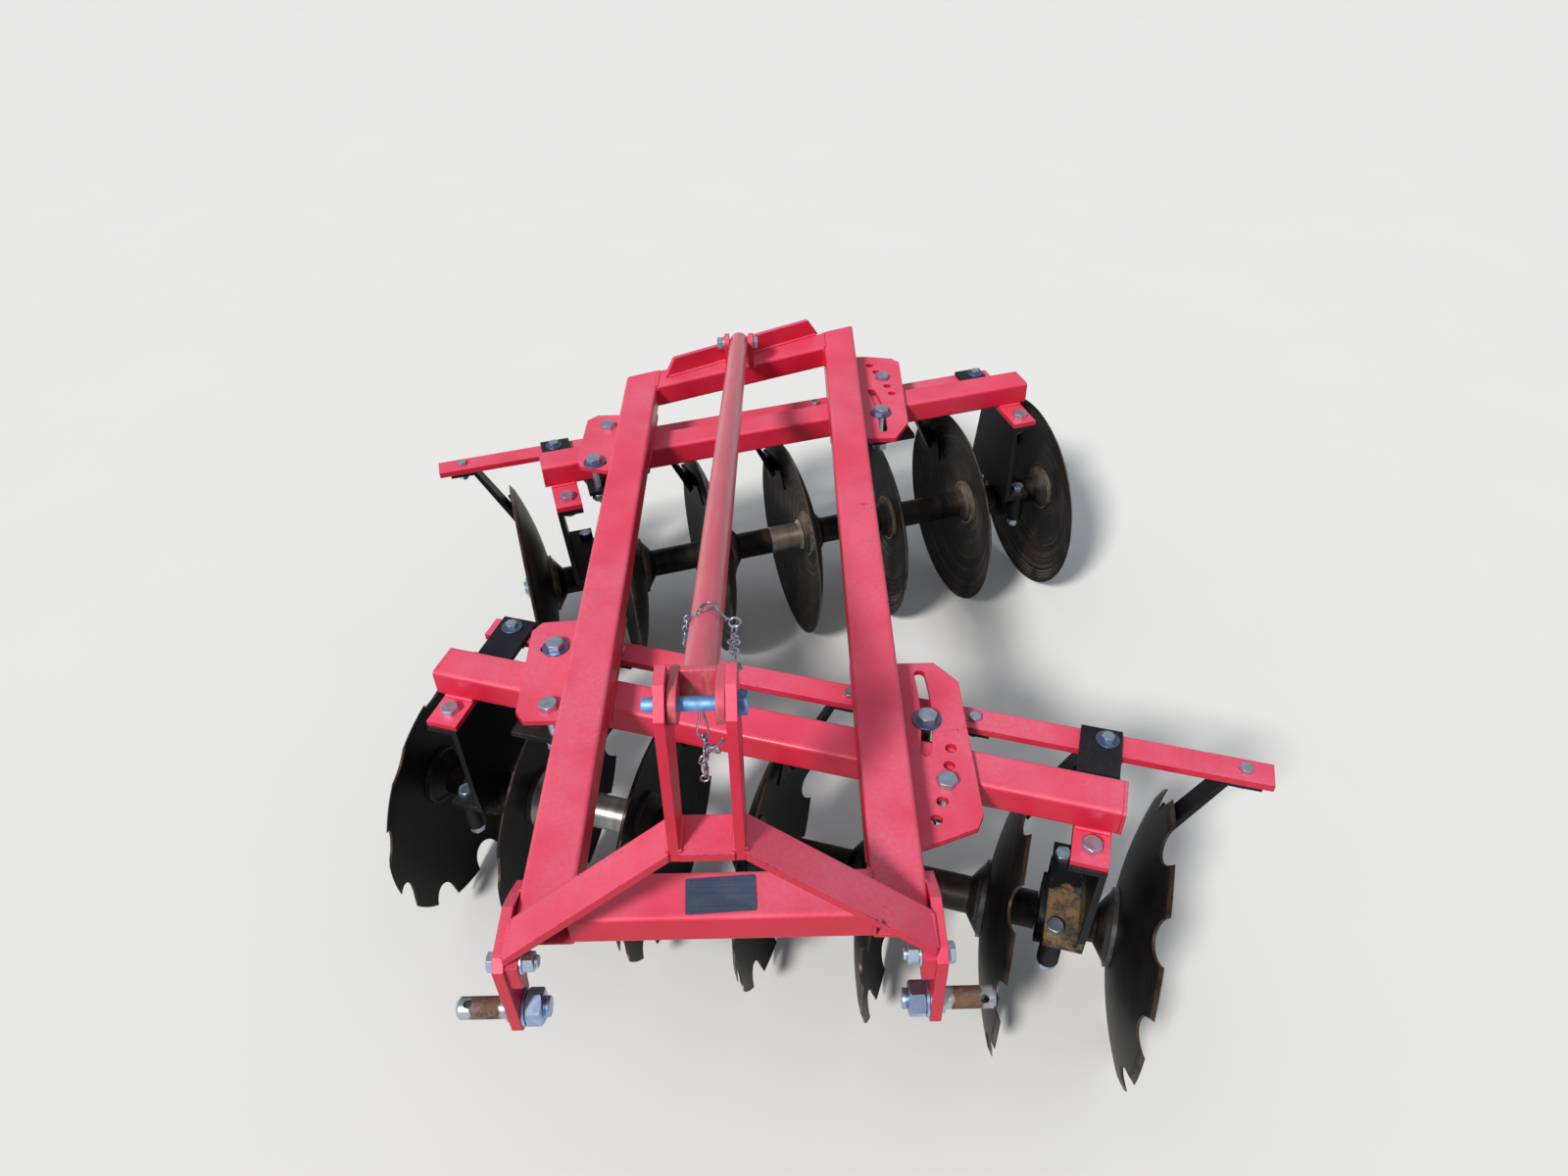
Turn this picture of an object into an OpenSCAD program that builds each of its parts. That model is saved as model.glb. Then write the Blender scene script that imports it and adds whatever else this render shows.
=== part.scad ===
// Mounted offset disc harrow: two disc gangs under a three-point frame.
// X runs to the right seen from the hitch, Y runs to the rear, Z is up.
// The origin lies under the middle of the whole implement, on the ground.

/* [Frame] */
// overall width of the frame across its two rails
frame_w = 511; // [380:1:800]
// width of every frame tube
tube_w = 70; // [50:1:100]
// height of every frame tube
tube_h = 50; // [40:1:80]
// wall of every frame tube
tube_wall = 5; // [3:0.5:8]
// outside corner radius of the frame tubes
tube_r = 7; // [3:0.5:12]
// front edge of the front crossbeam to the middle of the rear crossbeam's front edge
frame_len = 1401; // [1000:1:1800]
// how far the rear crossbeam is turned from square, in degrees
rear_skew = 23.7; // [0:0.1:30]
// thickness of the plates under the rails
plate_t = 10; // [6:1:16]
// height of the upright plate on the rear crossbeam
upstand_h = 40; // [20:1:80]
// length of that plate along its foot
upstand_len = 392; // [200:1:450]
// turn of that plate from square, in degrees
upstand_skew = 29.5; // [0:0.1:35]

/* [Hitch] */
// thickness of the two hitch brackets
bracket_t = 14; // [8:1:20]
// lower hitch pin ahead of the frame's front edge
pin_ahead = 42; // [30:1:90]
// lower hitch pin below the top of the frame
pin_drop = 122; // [60:1:160]
// diameter of the lower hitch pins
pin_d = 28; // [22:0.1:37]
// length of the lower hitch pin outside its collar
pin_len = 64; // [50:1:90]
// height of the top link hole above the lower pins
mast_rise = 466; // [400:1:520]
// top link hole behind the frame's front edge
mast_back = 30; // [0:1:120]
// sideways place of the mast from the middle of the frame
mast_side = -6; // [-40:1:40]
// clear gap between the two mast plates
mast_gap = 62; // [45:1:90]
// thickness of the mast plates
mast_t = 12; // [8:1:16]
// diameter of the top link bolt
top_bolt_d = 16; // [12:0.5:25.4]
// width of the bent strap that carries the mast
strap_w = 56; // [40:1:80]
// thickness of the bent strap
strap_t = 12; // [8:1:16]
// top of the strap's flat middle above the top of the frame
strap_rise = 160; // [80:1:240]

/* [Brace] */
// outside diameter of the brace tube
brace_d = 40; // [30:1:60]
// wall of the brace tube
brace_wall = 4; // [2.5:0.5:6]
// rear brace bolt behind the rear crossbeam's front edge
brace_back = 22; // [10:1:60]
// rear brace bolt above the top of the frame
brace_up = 52; // [30:1:90]

/* [Gangs] */
// diameter of every disc
disc_d = 460; // [400:1:560]
// thickness of every disc
disc_t = 4; // [3:0.5:6]
// radius of the discs' dish
dish_r = 560; // [400:1:800]
// width of the ground bevel on the back of every disc's rim
edge_bevel = 12; // [4:1:20]
// spacing of the discs along an axle
disc_pitch = 200; // [170:1:260]
// discs on each axle
disc_count = 7; // [5:1:9]
// notches around each front disc
notch_count = 10; // [8:1:12]
// radius of each notch
notch_r = 34; // [20:1:45]
// turn of the front discs on their axle, in degrees
notch_turn = 18; // [0:1:36]
// underside of the gang beams above the axles
axle_to_beam = 252; // [200:1:320]
// end of each gang beam beyond the middle of its hanger tab
beam_over = 38.5; // [30:0.5:80]
// width of the gang beams
beam_w = 65; // [50:1:90]
// height of the gang beams
beam_h = 50; // [40:1:80]
// front gang's angle from square, right end forward
front_angle = 16.9; // [8:0.1:23]
// rear gang's angle from square, right end rearward
rear_angle = 15.9; // [8:0.1:23]
// axle ahead of the front beam's centre line
front_axle_ahead = 8; // [0:1:60]
// axle ahead of the rear beam's centre line
rear_axle_ahead = 28; // [0:1:60]
// middle front disc's rim to the right of the beam's middle
front_disc_shift = 22; // [-60:1:60]
// middle rear disc's rim to the left of the beam's middle
rear_disc_shift = 16; // [-60:1:60]

/* [Axles and bearings] */
// diameter of the axle rod
axle_d = 30; // [25:1:40]
// diameter of the bearing journal
journal_d = 44; // [36:1:60]
// diameter of the spool tubes between discs
spool_d = 60; // [50:1:80]
// diameter of the bell in a disc's hollow
bell_d = 104; // [80:1:130]
// diameter of the bell at a disc's back
back_bell_d = 124; // [90:1:140]
// diameter of the bearing housings
housing_d = 96; // [80:1:130]
// length of the bearing housings
housing_len = 50; // [40:1:60]
// middle of a bearing from its disc's hub plane
bearing_lead = 108; // [95:1:112]
// bearing bolts ahead of and behind the axle
bearing_bolt = 68; // [60:1:85]

/* [Scrapers] */
// centre of the scraper bar behind its beam's centre line
bar_back = 121; // [110:1:160]
// width of the scraper bar
bar_w = 43; // [30:1:60]
// thickness of the scraper bar
bar_t = 12; // [6:1:16]
// top of the front scraper bar below the top of the gang beam
front_bar_drop = 28; // [10:1:50]
// top of the rear scraper bar below the top of the gang beam
rear_bar_drop = 52; // [10:1:60]
// scraper bolt to the disc's rim, along the bar
scraper_lead = 93; // [70:1:110]
// gap between a scraper blade and its disc
scraper_gap = 9; // [6:1:20]

/* [Hidden] */

paint = [0.80, 0.10, 0.20];
worn = [0.62, 0.22, 0.18];
black = [0.09, 0.09, 0.10];
steel = [0.55, 0.54, 0.52];
zinc = [0.70, 0.72, 0.75];

// levels, counted up from the ground
axle_z = disc_d / 2;
beam_z = axle_z + axle_to_beam;
plate_z = beam_z + beam_h;
rail_z = plate_z + plate_t;
top_z = rail_z + tube_h;
pin_z = top_z - pin_drop;
mast_z = pin_z + mast_rise;
strap_z = top_z + strap_rise;

half_w = frame_w / 2;
rail_x = half_w - tube_w;
bolt_d = 16;
hole_d = 17;
run_gap = 0.08;

// swivel bolts of the two gangs, in plan
front_pivot = [-half_w - 29.5, 412];
rear_pivot = [-half_w - 32.5, frame_len - 164];
// the same bolts counted from the middle of their beam, along and behind it
front_pivot_at = [-321, -63];
rear_pivot_at = [-392, 65];
// index hole and slot circles around the swivel bolts
front_index_r = 618;
rear_index_r = 629;
front_slot_r = 582;
rear_slot_r = 588;
index_step = 3.13;
index_lead = 1.1;
slot_half = 8;
// swivel bolt to the second bolt of its pair
pair_reach = 136;
front_slot_turn = 14.2;
rear_slot_turn = -11.2;

function turned(p, a) = [p.x * cos(a) - p.y * sin(a), p.x * sin(a) + p.y * cos(a)];
function around(c, r, a) = [c.x + r * cos(a), c.y + r * sin(a)];

front_mid = front_pivot - turned(front_pivot_at, -front_angle);
rear_mid = rear_pivot - turned(rear_pivot_at, rear_angle);

// dish: the middle is flat out to the spool's bell, and the rim lies ahead of it
flat_r = back_bell_d / 2 + 3;
dish_x = sqrt(pow(dish_r + disc_t, 2) - pow(flat_r, 2));
rim_x = dish_x - sqrt(pow(dish_r + disc_t, 2) - pow(disc_d / 2, 2));
disc_half = (disc_count - 1) / 2;
hanger_side = (disc_half - 0.5) * disc_pitch + 8;
beam_len = 2 * (hanger_side + beam_over);

// hub planes of the discs along their beam
front_hubs = [for (i = [0 : disc_count - 1]) front_disc_shift - rim_x + (i - disc_half) * disc_pitch];
rear_hubs = [for (i = [0 : disc_count - 1]) -rear_disc_shift + rim_x + (i - disc_half) * disc_pitch];
axle_over = 62;
// bearing middles, in the gaps beside the outer discs
front_bearings = [front_hubs[0] + bearing_lead, front_hubs[disc_count - 2] + bearing_lead];
rear_bearings = [rear_hubs[1] - bearing_lead, rear_hubs[disc_count - 1] - bearing_lead];

front_bar_from = -hanger_side - 20;
front_bar_to = front_disc_shift + disc_half * disc_pitch + scraper_lead + 40;
rear_bar_from = -rear_disc_shift - disc_half * disc_pitch - scraper_lead - 48;
rear_bar_to = hanger_side + 20;

// the ground point under the middle of the whole implement
left_most = rear_mid.x + rear_bar_from * cos(rear_angle) - (bar_back + bar_w / 2) * sin(rear_angle);
right_most = front_mid.x + front_bar_to * cos(front_angle) + (bar_back + bar_w / 2) * sin(front_angle);
front_most = -pin_ahead - 24;
rear_most = rear_mid.y + (rear_hubs[disc_count - 1] - rim_x) * sin(rear_angle)
    + (disc_d / 2 - rear_axle_ahead) * cos(rear_angle);
mid_x = (left_most + right_most) / 2;
mid_y = (front_most + rear_most) / 2;

function skew_y(x) = frame_len + x * tan(rear_skew);

module at_origin() {
    translate([-mid_x, -mid_y, 0])
    children();
}

// places children on the front gang: X along the beam, Y behind it, Z from the ground
module on_front() {
    at_origin()
    translate([front_mid.x, front_mid.y, 0])
    rotate([0, 0, -front_angle])
    children();
}

module on_rear() {
    at_origin()
    translate([rear_mid.x, rear_mid.y, 0])
    rotate([0, 0, rear_angle])
    children();
}

module rounded(w, h, r) {
    square([w - 2 * r, h], center = true);
    square([w, h - 2 * r], center = true);
    for (x = [-1, 1], y = [-1, 1])
        translate([x * (w / 2 - r), y * (h / 2 - r)])
        circle(r = r, $fn = 32);
}

// hollow tube along +Y, its top face at z = h
module tube(w, h, wall, r, length) {
    translate([0, length, h / 2])
    rotate([90, 0, 0])
    linear_extrude(length)
    difference() {
        rounded(w, h, r);
        rounded(w - 2 * wall, h - 2 * wall, r - wall + 1.5);
    }
}

module hex(flats, height) {
    cylinder(d = flats / cos(30), h = height, $fn = 6);
}

// shaft along +X
module rod(d, length, fn = 48) {
    rotate([0, 90, 0])
    cylinder(d = d, h = length, $fn = fn);
}

module side_rail(side) {
    color(paint)
    at_origin()
    difference() {
        translate([side * (half_w - tube_w / 2), 0, rail_z])
        tube(tube_w, tube_h, tube_wall, tube_r, frame_len * 1.3);
        translate([0, skew_y(0) + tube_w / cos(rear_skew), rail_z - 1])
        rotate([0, 0, rear_skew])
        translate([-frame_w, 0, 0])
        cube([2 * frame_w, frame_len, tube_h + 2]);
    }
}

module side_rail_left() {
    side_rail(-1);
}

module side_rail_right() {
    side_rail(1);
}

module front_crossbeam() {
    color(paint)
    at_origin()
    translate([-rail_x, tube_w / 2, rail_z])
    rotate([0, 0, -90])
    tube(tube_w, tube_h, tube_wall, tube_r, 2 * rail_x);
}

module rear_crossbeam() {
    color(paint)
    at_origin()
    intersection() {
        translate([0, frame_len, rail_z])
        rotate([0, 0, rear_skew])
        translate([-frame_w, tube_w / 2, 0])
        rotate([0, 0, -90])
        tube(tube_w, tube_h, tube_wall, tube_r, 2 * frame_w);
        translate([-rail_x, 0, rail_z - 1])
        cube([2 * rail_x, 2 * frame_len, tube_h + 2]);
    }
}

module rear_upstand() {
    slope = 0.65 * upstand_h;
    color(paint)
    at_origin()
    translate([0, frame_len + 58, top_z])
    rotate([0, 0, upstand_skew])
    rotate([90, 0, 0])
    linear_extrude(plate_t, center = true)
    polygon([[-upstand_len / 2, 0], [upstand_len / 2, 0],
        [upstand_len / 2 - slope, upstand_h], [slope - upstand_len / 2, upstand_h]]);
}

// side plate that carries a lower pin, outside the rail, with a lug inside it
module hitch_bracket(side) {
    foot = pin_z - 20;
    bolt_y = -pin_ahead - 3;
    bolt_z = top_z - 13;
    color(paint)
    at_origin()
    difference() {
        union() {
            translate([side > 0 ? half_w : -half_w - bracket_t, 0, 0])
            rotate([90, 0, 90])
            linear_extrude(bracket_t)
            polygon([[-pin_ahead - 18, foot], [-pin_ahead + 24, foot], [-pin_ahead + 32, foot + 18],
                [-pin_ahead + 38, foot + 50], [10, rail_z], [80, rail_z], [80, top_z - 26],
                [46, top_z - 4], [15, top_z + 12], [-pin_ahead - 10, top_z + 8],
                [-pin_ahead - 24, top_z - 4], [-pin_ahead - 24, foot + 6]]);
            translate([side > 0 ? half_w - 16 : -half_w, -pin_ahead - 20, rail_z + 6])
            cube([16, pin_ahead + 20, tube_h - 8]);
        }
        translate([-frame_w, -pin_ahead, pin_z])
        rod(22, 2 * frame_w);
        translate([-frame_w, bolt_y, bolt_z])
        rod(hole_d, 2 * frame_w);
    }
}

module hitch_bracket_left() {
    hitch_bracket(-1);
}

module hitch_bracket_right() {
    hitch_bracket(1);
}

// pin with a collar outside the bracket and a threaded tail inside it
module lower_hitch_pin(side) {
    collar = 6;
    tail = 50;
    chamfer = 4;
    out = half_w + bracket_t;
    color(zinc)
    at_origin()
    translate([0, -pin_ahead, pin_z])
    mirror([side > 0 ? 0 : 1, 0, 0])
    difference() {
        union() {
            translate([out - tail, 0, 0])
            rod(22, tail + 1);
            translate([out, 0, 0])
            rod(pin_d + 8, collar);
            translate([out + collar - 1, 0, 0])
            rod(pin_d, pin_len - chamfer + 1);
            translate([out + collar + pin_len - chamfer, 0, 0])
            rotate([0, 90, 0])
            cylinder(d1 = pin_d, d2 = pin_d - 2 * chamfer, h = chamfer, $fn = 48);
        }
        translate([out + collar + pin_len - 15, 0, 0])
        cylinder(d = 10.5, h = 2 * pin_d, center = true, $fn = 32);
    }
}

module lower_hitch_pin_left() {
    lower_hitch_pin(-1);
}

module lower_hitch_pin_right() {
    lower_hitch_pin(1);
}

mast_out = mast_gap / 2 + mast_t;
strap_mid_y = 4;
strap_foot_y = -32;
strap_foot_z = top_z + 14;

// flat leg of the bent strap, from a bracket up to the mast
module hitch_strap(side) {
    color(paint)
    at_origin()
    hull() {
        translate([side > 0 ? half_w - 1 : -half_w, strap_foot_y - strap_w / 2, strap_foot_z - strap_t])
        cube([1, strap_w, strap_t]);
        translate([mast_side + side * (mast_out + 0.5) - 0.5, strap_mid_y - strap_w / 2, strap_z - strap_t])
        cube([1, strap_w, strap_t]);
    }
}

module hitch_strap_left() {
    hitch_strap(-1);
}

module hitch_strap_right() {
    hitch_strap(1);
}

module mast_base_plate() {
    color(paint)
    at_origin()
    translate([mast_side - mast_gap / 2, strap_mid_y - strap_w / 2, strap_z - strap_t])
    cube([mast_gap, strap_w, strap_t]);
}

// mast plate: narrow foot, wide head with the top link hole
module mast(side) {
    head = 32;
    color(paint)
    at_origin()
    translate([side > 0 ? mast_side + mast_gap / 2 : mast_side - mast_out, 0, 0])
    difference() {
        rotate([90, 0, 90])
        linear_extrude(mast_t)
        polygon([[strap_mid_y - 26, strap_z - strap_t - 2], [strap_mid_y + 26, strap_z - strap_t - 2],
            [mast_back + head - 4, mast_z - 60], [mast_back + head + 6, mast_z - 6],
            [mast_back + head - 8, mast_z + 34], [mast_back - 6, mast_z + 34],
            [mast_back - head, mast_z + 6], [mast_back - head - 2, mast_z - 24]]);
        translate([-1, mast_back, mast_z])
        rod(hole_d, mast_t + 2);
    }
}

module mast_left() {
    mast(-1);
}

module mast_right() {
    mast(1);
}

module top_link_bolt() {
    color(zinc)
    at_origin()
    translate([mast_side, mast_back, mast_z])
    difference() {
        union() {
            translate([-mast_out - 18, 0, 0])
            rod(top_bolt_d, 2 * mast_out + 18);
            translate([mast_out, 0, 0])
            rotate([0, 90, 0])
            hex(24, 10);
        }
        // a fine groove each side of the link's seat
        for (x = [-brace_d / 2 - 1, brace_d / 2])
            translate([x, 0, 0])
            difference() {
                rod(2 * top_bolt_d, 1);
                translate([-1, 0, 0])
                rod(top_bolt_d - 1, 3);
            }
    }
}

// brace line in the mast's plane
brace_end_y = skew_y(mast_side) + brace_back;
brace_end_z = top_z + brace_up;
brace_fall = atan2(mast_z - brace_end_z, brace_end_y - mast_back);
brace_run = norm([brace_end_y - mast_back, mast_z - brace_end_z]);
brace_bolt_y = brace_end_y - 12 * cos(brace_fall);
brace_bolt_z = brace_end_z + 12 * sin(brace_fall);

module along_brace() {
    translate([mast_side, mast_back, mast_z])
    rotate([-brace_fall, 0, 0])
    children();
}

module brace_fork() {
    color(worn)
    at_origin()
    along_brace()
    for (side = [-1, 1])
        difference() {
            translate([side > 0 ? brace_d / 2 : -brace_d / 2 - plate_t, 0, 0])
            rotate([90, 0, 90])
            linear_extrude(plate_t)
            union() {
                circle(r = 22, $fn = 48);
                translate([0, -22])
                square([110, 44]);
            }
            translate([-mast_gap, 0, 0])
            rod(hole_d, 2 * mast_gap);
        }
}

module brace_tube() {
    color(worn)
    at_origin()
    along_brace()
    difference() {
        translate([0, brace_run, 0])
        rotate([90, 0, 0])
        difference() {
            cylinder(d = brace_d, h = brace_run - 40, $fn = 64);
            translate([0, 0, 30])
            cylinder(d = brace_d - 2 * brace_wall, h = brace_run, $fn = 64);
        }
        translate([-mast_gap, brace_run - 12, 0])
        rod(hole_d, 2 * mast_gap);
    }
}

module brace_clevis() {
    ear_w = 44;
    color(paint)
    at_origin()
    for (side = [-1, 1])
        difference() {
            translate([mast_side + side * (brace_d / 2 + 1 + plate_t / 2), brace_end_y - 10, top_z])
            rotate([90, 0, 90])
            linear_extrude(plate_t, center = true)
            union() {
                translate([-ear_w / 2, 0])
                square([ear_w, brace_up]);
                translate([0, brace_up])
                circle(r = ear_w / 2, $fn = 48);
            }
            translate([mast_side - mast_gap, brace_bolt_y, brace_bolt_z])
            rod(hole_d, 2 * mast_gap);
        }
}

module brace_rear_bolt() {
    color(zinc)
    at_origin()
    translate([mast_side, brace_bolt_y, brace_bolt_z]) {
        translate([-brace_d / 2 - plate_t - 18, 0, 0])
        rod(bolt_d, brace_d + 2 * plate_t + 20);
        translate([brace_d / 2 + plate_t + 1, 0, 0])
        rotate([0, 90, 0])
        hex(24, 10);
    }
}

// flat plate from a plan outline, lying on the gang beam
module plan_plate(points) {
    translate([0, 0, plate_z])
    linear_extrude(plate_t)
    polygon(points);
}

module drilled(c, d) {
    translate([c.x, c.y, plate_z - 40])
    cylinder(d = d, h = 80, $fn = 32);
}

// curved slot around a swivel bolt
module swing_slot(c, r, mid, half) {
    translate([c.x, c.y, plate_z - 1])
    rotate([0, 0, mid - half])
    rotate_extrude(angle = 2 * half, $fn = 360)
    translate([r - hole_d / 2, 0])
    square([hole_d, plate_t + 2]);
    for (a = [mid - half, mid + half])
        drilled(around(c, r, a), hole_d);
}

module angle_plate_front_left() {
    c = front_pivot;
    out = c.x - 56;
    ahead = c.y - 28;
    color(paint)
    at_origin()
    difference() {
        plan_plate([[out + 6, ahead + 20], [out + 20, ahead], [-rail_x, ahead],
            [-rail_x, c.y + 210], [out + 15, c.y + 199], [out, c.y + 178]]);
        drilled(c, hole_d);
        swing_slot(c, pair_reach, 95, 6);
    }
}

module angle_plate_front_right() {
    c = front_pivot;
    out = c.x + front_index_r + 21;
    hub = -front_angle + index_lead;
    color(paint)
    at_origin()
    difference() {
        plan_plate([[rail_x, c.y - 292], [half_w + 12, c.y - 277], [out - 11, c.y - 248],
            [out, c.y - 224], [out, c.y + 35], [out - 34, c.y + 79], [rail_x, c.y + 79]]);
        for (i = [-2 : 2])
            drilled(around(c, front_index_r, hub + i * index_step), hole_d);
        swing_slot(c, front_slot_r, front_slot_turn - front_angle, slot_half);
    }
}

module angle_plate_rear_left() {
    c = rear_pivot;
    out = c.x - 50;
    ahead = c.y - 165;
    behind = c.y + 53;
    color(paint)
    at_origin()
    difference() {
        plan_plate([[out + 2, behind - 20], [out, ahead + 40], [out + 10, ahead + 18],
            [c.x + 16, ahead], [-rail_x, ahead], [-rail_x, behind], [out + 22, behind]]);
        drilled(c, hole_d);
        swing_slot(c, pair_reach, 266, 6);
    }
}

module angle_plate_rear_right() {
    c = rear_pivot;
    out = c.x + rear_index_r + 18;
    hub = rear_angle + index_lead;
    color(paint)
    at_origin()
    difference() {
        plan_plate([[rail_x, c.y - 68], [out - 37, c.y - 69], [out - 5, c.y - 8], [out, c.y + 261],
            [out - 17, c.y + 279], [out - 74, c.y + 291], [rail_x, c.y + 291]]);
        for (i = [-2 : 2])
            drilled(around(c, rear_index_r, hub + i * index_step), hole_d);
        swing_slot(c, rear_slot_r, rear_slot_turn + rear_angle, slot_half);
    }
}

// bolt pairs that clamp a beam, counted from the beam's middle
front_pairs = [
    [front_pivot_at, front_pivot_at + turned([0, pair_reach], 21)],
    [front_pivot_at + turned([front_index_r, 0], index_lead),
        front_pivot_at + turned([front_slot_r, 0], 12.4)]];
rear_pairs = [
    [rear_pivot_at, rear_pivot_at + turned([0, -pair_reach], -21)],
    [rear_pivot_at + turned([rear_index_r, 0], index_lead),
        rear_pivot_at + turned([rear_slot_r, 0], -12.7)]];

module clamp_plate(pair) {
    mid = (pair[0] + pair[1]) / 2;
    span = abs(pair[1].y - pair[0].y) + 28;
    wide = abs(pair[1].x - pair[0].x) + 42;
    difference() {
        translate([mid.x - wide / 2, mid.y - span / 2, beam_z - plate_t])
        cube([wide, span, plate_t]);
        for (p = pair)
            translate([p.x, p.y, beam_z - 2 * plate_t])
            cylinder(d = hole_d, h = 3 * plate_t, $fn = 32);
    }
}

module clamp_plates_front() {
    color(black)
    on_front()
    for (pair = front_pairs)
        clamp_plate(pair);
}

module clamp_plates_rear() {
    color(black)
    on_rear()
    for (pair = rear_pairs)
        clamp_plate(pair);
}

cap_t = 5;

module gang_beam() {
    translate([-beam_len / 2 + cap_t, 0, beam_z])
    rotate([0, 0, -90])
    tube(beam_w, beam_h, tube_wall, tube_r, beam_len - 2 * cap_t);
}

module front_gang_beam() {
    color(paint)
    on_front()
    gang_beam();
}

module rear_gang_beam() {
    color(paint)
    on_rear()
    gang_beam();
}

module end_caps() {
    for (x = [-beam_len / 2, beam_len / 2 - cap_t])
        translate([x, 0, beam_z + beam_h / 2])
        rotate([90, 0, 90])
        linear_extrude(cap_t)
        rounded(beam_w, beam_h, tube_r);
}

module beam_end_caps() {
    color(paint) {
        on_front()
        end_caps();
        on_rear()
        end_caps();
    }
}

tab_w = 53;
hanger_t = 10;
foot_t = 12;
foot_z = axle_z + housing_d / 2 + 2;
foot_half = bearing_bolt + 26;
// web and free edge of a hanger's foot, from the bearing's middle
web_out = 44;
foot_in = 15;

function tab_front(axle_ahead) = -axle_ahead - 84;
function tab_bolt(axle_ahead) = tab_front(axle_ahead) + 30;

module hanger_tabs(axle_ahead) {
    front = tab_front(axle_ahead);
    for (side = [-1, 1])
        difference() {
            translate([side * hanger_side - tab_w / 2, front, beam_z - plate_t])
            cube([tab_w, beam_w / 2 - front - 6, plate_t]);
            translate([side * hanger_side, tab_bolt(axle_ahead), beam_z - 2 * plate_t])
            cylinder(d = hole_d, h = 3 * plate_t, $fn = 32);
        }
}

module front_hanger_tabs() {
    color(paint)
    on_front()
    hanger_tabs(front_axle_ahead);
}

module rear_hanger_tabs() {
    color(paint)
    on_rear()
    hanger_tabs(rear_axle_ahead);
}

// bent plate from a tab at x = tab_x down to a bearing at x, its web on the +X side
module hanger(x, tab_x, axle_ahead) {
    top = beam_z - plate_t;
    top_out = tab_x + tab_w / 2;
    front = -axle_ahead - foot_half;
    rear = -axle_ahead + foot_half;
    color(black)
    difference() {
        intersection() {
            translate([0, rear + 1, 0])
            rotate([90, 0, 0])
            linear_extrude(rear - front + 2)
            polygon([[x - foot_in, foot_z], [x + web_out, foot_z], [top_out, top], [tab_x - tab_w / 2, top],
                [tab_x - tab_w / 2, top - hanger_t], [top_out - hanger_t, top - hanger_t],
                [x + web_out - hanger_t, foot_z + foot_t], [x - foot_in, foot_z + foot_t]]);
            translate([x - tab_w - hanger_side, 0, 0])
            rotate([90, 0, 90])
            linear_extrude(2 * (tab_w + hanger_side))
            polygon([[front, foot_z], [rear, foot_z], [rear, foot_z + 40], [beam_w / 2 + 12, top],
                [tab_front(axle_ahead) - 2, top], [front, foot_z + 60]]);
        }
        translate([tab_x, tab_bolt(axle_ahead), top - 2 * plate_t])
        cylinder(d = hole_d, h = 3 * plate_t, $fn = 32);
        for (side = [-1, 1])
            translate([x, -axle_ahead + side * bearing_bolt, foot_z - 1])
            cylinder(d = hole_d, h = foot_t + 2, $fn = 32);
    }
}

// housing with a tall boss for each of its two bolts
module bearing(x, axle_y) {
    boss_d = 34;
    boss_foot = axle_z - 40;
    rib_t = 24;
    color(black)
    difference() {
        union() {
            translate([x - housing_len / 2, axle_y, axle_z])
            rod(housing_d, housing_len, 72);
            translate([x - housing_len / 2, axle_y - 40, axle_z])
            cube([housing_len, 80, foot_z - axle_z]);
            translate([x - rib_t / 2, axle_y - bearing_bolt, boss_foot + 12])
            cube([rib_t, 2 * bearing_bolt, foot_z - boss_foot - 12]);
            for (side = [-1, 1])
                translate([x, axle_y + side * bearing_bolt, boss_foot])
                cylinder(d = boss_d, h = foot_z - boss_foot, $fn = 48);
        }
        translate([x - housing_len, axle_y, axle_z])
        rod(journal_d + 2 * run_gap, 2 * housing_len, 72);
        for (side = [-1, 1])
            translate([x, axle_y + side * bearing_bolt, boss_foot - 1])
            cylinder(d = hole_d, h = foot_z - boss_foot + 2, $fn = 32);
    }
}

module hanger_front_left() {
    on_front()
    hanger(front_bearings[0], -hanger_side, front_axle_ahead);
}

module hanger_front_right() {
    on_front()
    hanger(front_bearings[1], hanger_side, front_axle_ahead);
}

module hanger_rear_left() {
    on_rear()
    mirror([1, 0, 0])
    hanger(-rear_bearings[0], hanger_side, rear_axle_ahead);
}

module hanger_rear_right() {
    on_rear()
    mirror([1, 0, 0])
    hanger(-rear_bearings[1], -hanger_side, rear_axle_ahead);
}

module bearing_front_left() {
    on_front()
    bearing(front_bearings[0], -front_axle_ahead);
}

module bearing_front_right() {
    on_front()
    bearing(front_bearings[1], -front_axle_ahead);
}

module bearing_rear_left() {
    on_rear()
    bearing(rear_bearings[0], -rear_axle_ahead);
}

module bearing_rear_right() {
    on_rear()
    bearing(rear_bearings[1], -rear_axle_ahead);
}

// angle bracket from a beam's rear face over its scraper bar, bored for the scraper's own bolt
module scraper_bracket(x, bolt_x, drop) {
    w = 62;
    t = 8;
    bar_z = plate_z - drop;
    foot = min(beam_z + 2, bar_z);
    difference() {
        union() {
            translate([x - w / 2, beam_w / 2, bar_z])
            cube([w, bar_back + bar_w / 2 + 1 - beam_w / 2, t]);
            translate([x - w / 2, beam_w / 2, foot])
            cube([w, t, max(bar_z + t, plate_z - 12) - foot]);
        }
        translate([bolt_x, bar_back, bar_z - 1])
        cylinder(d = 13, h = t + 2, $fn = 32);
    }
}

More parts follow.
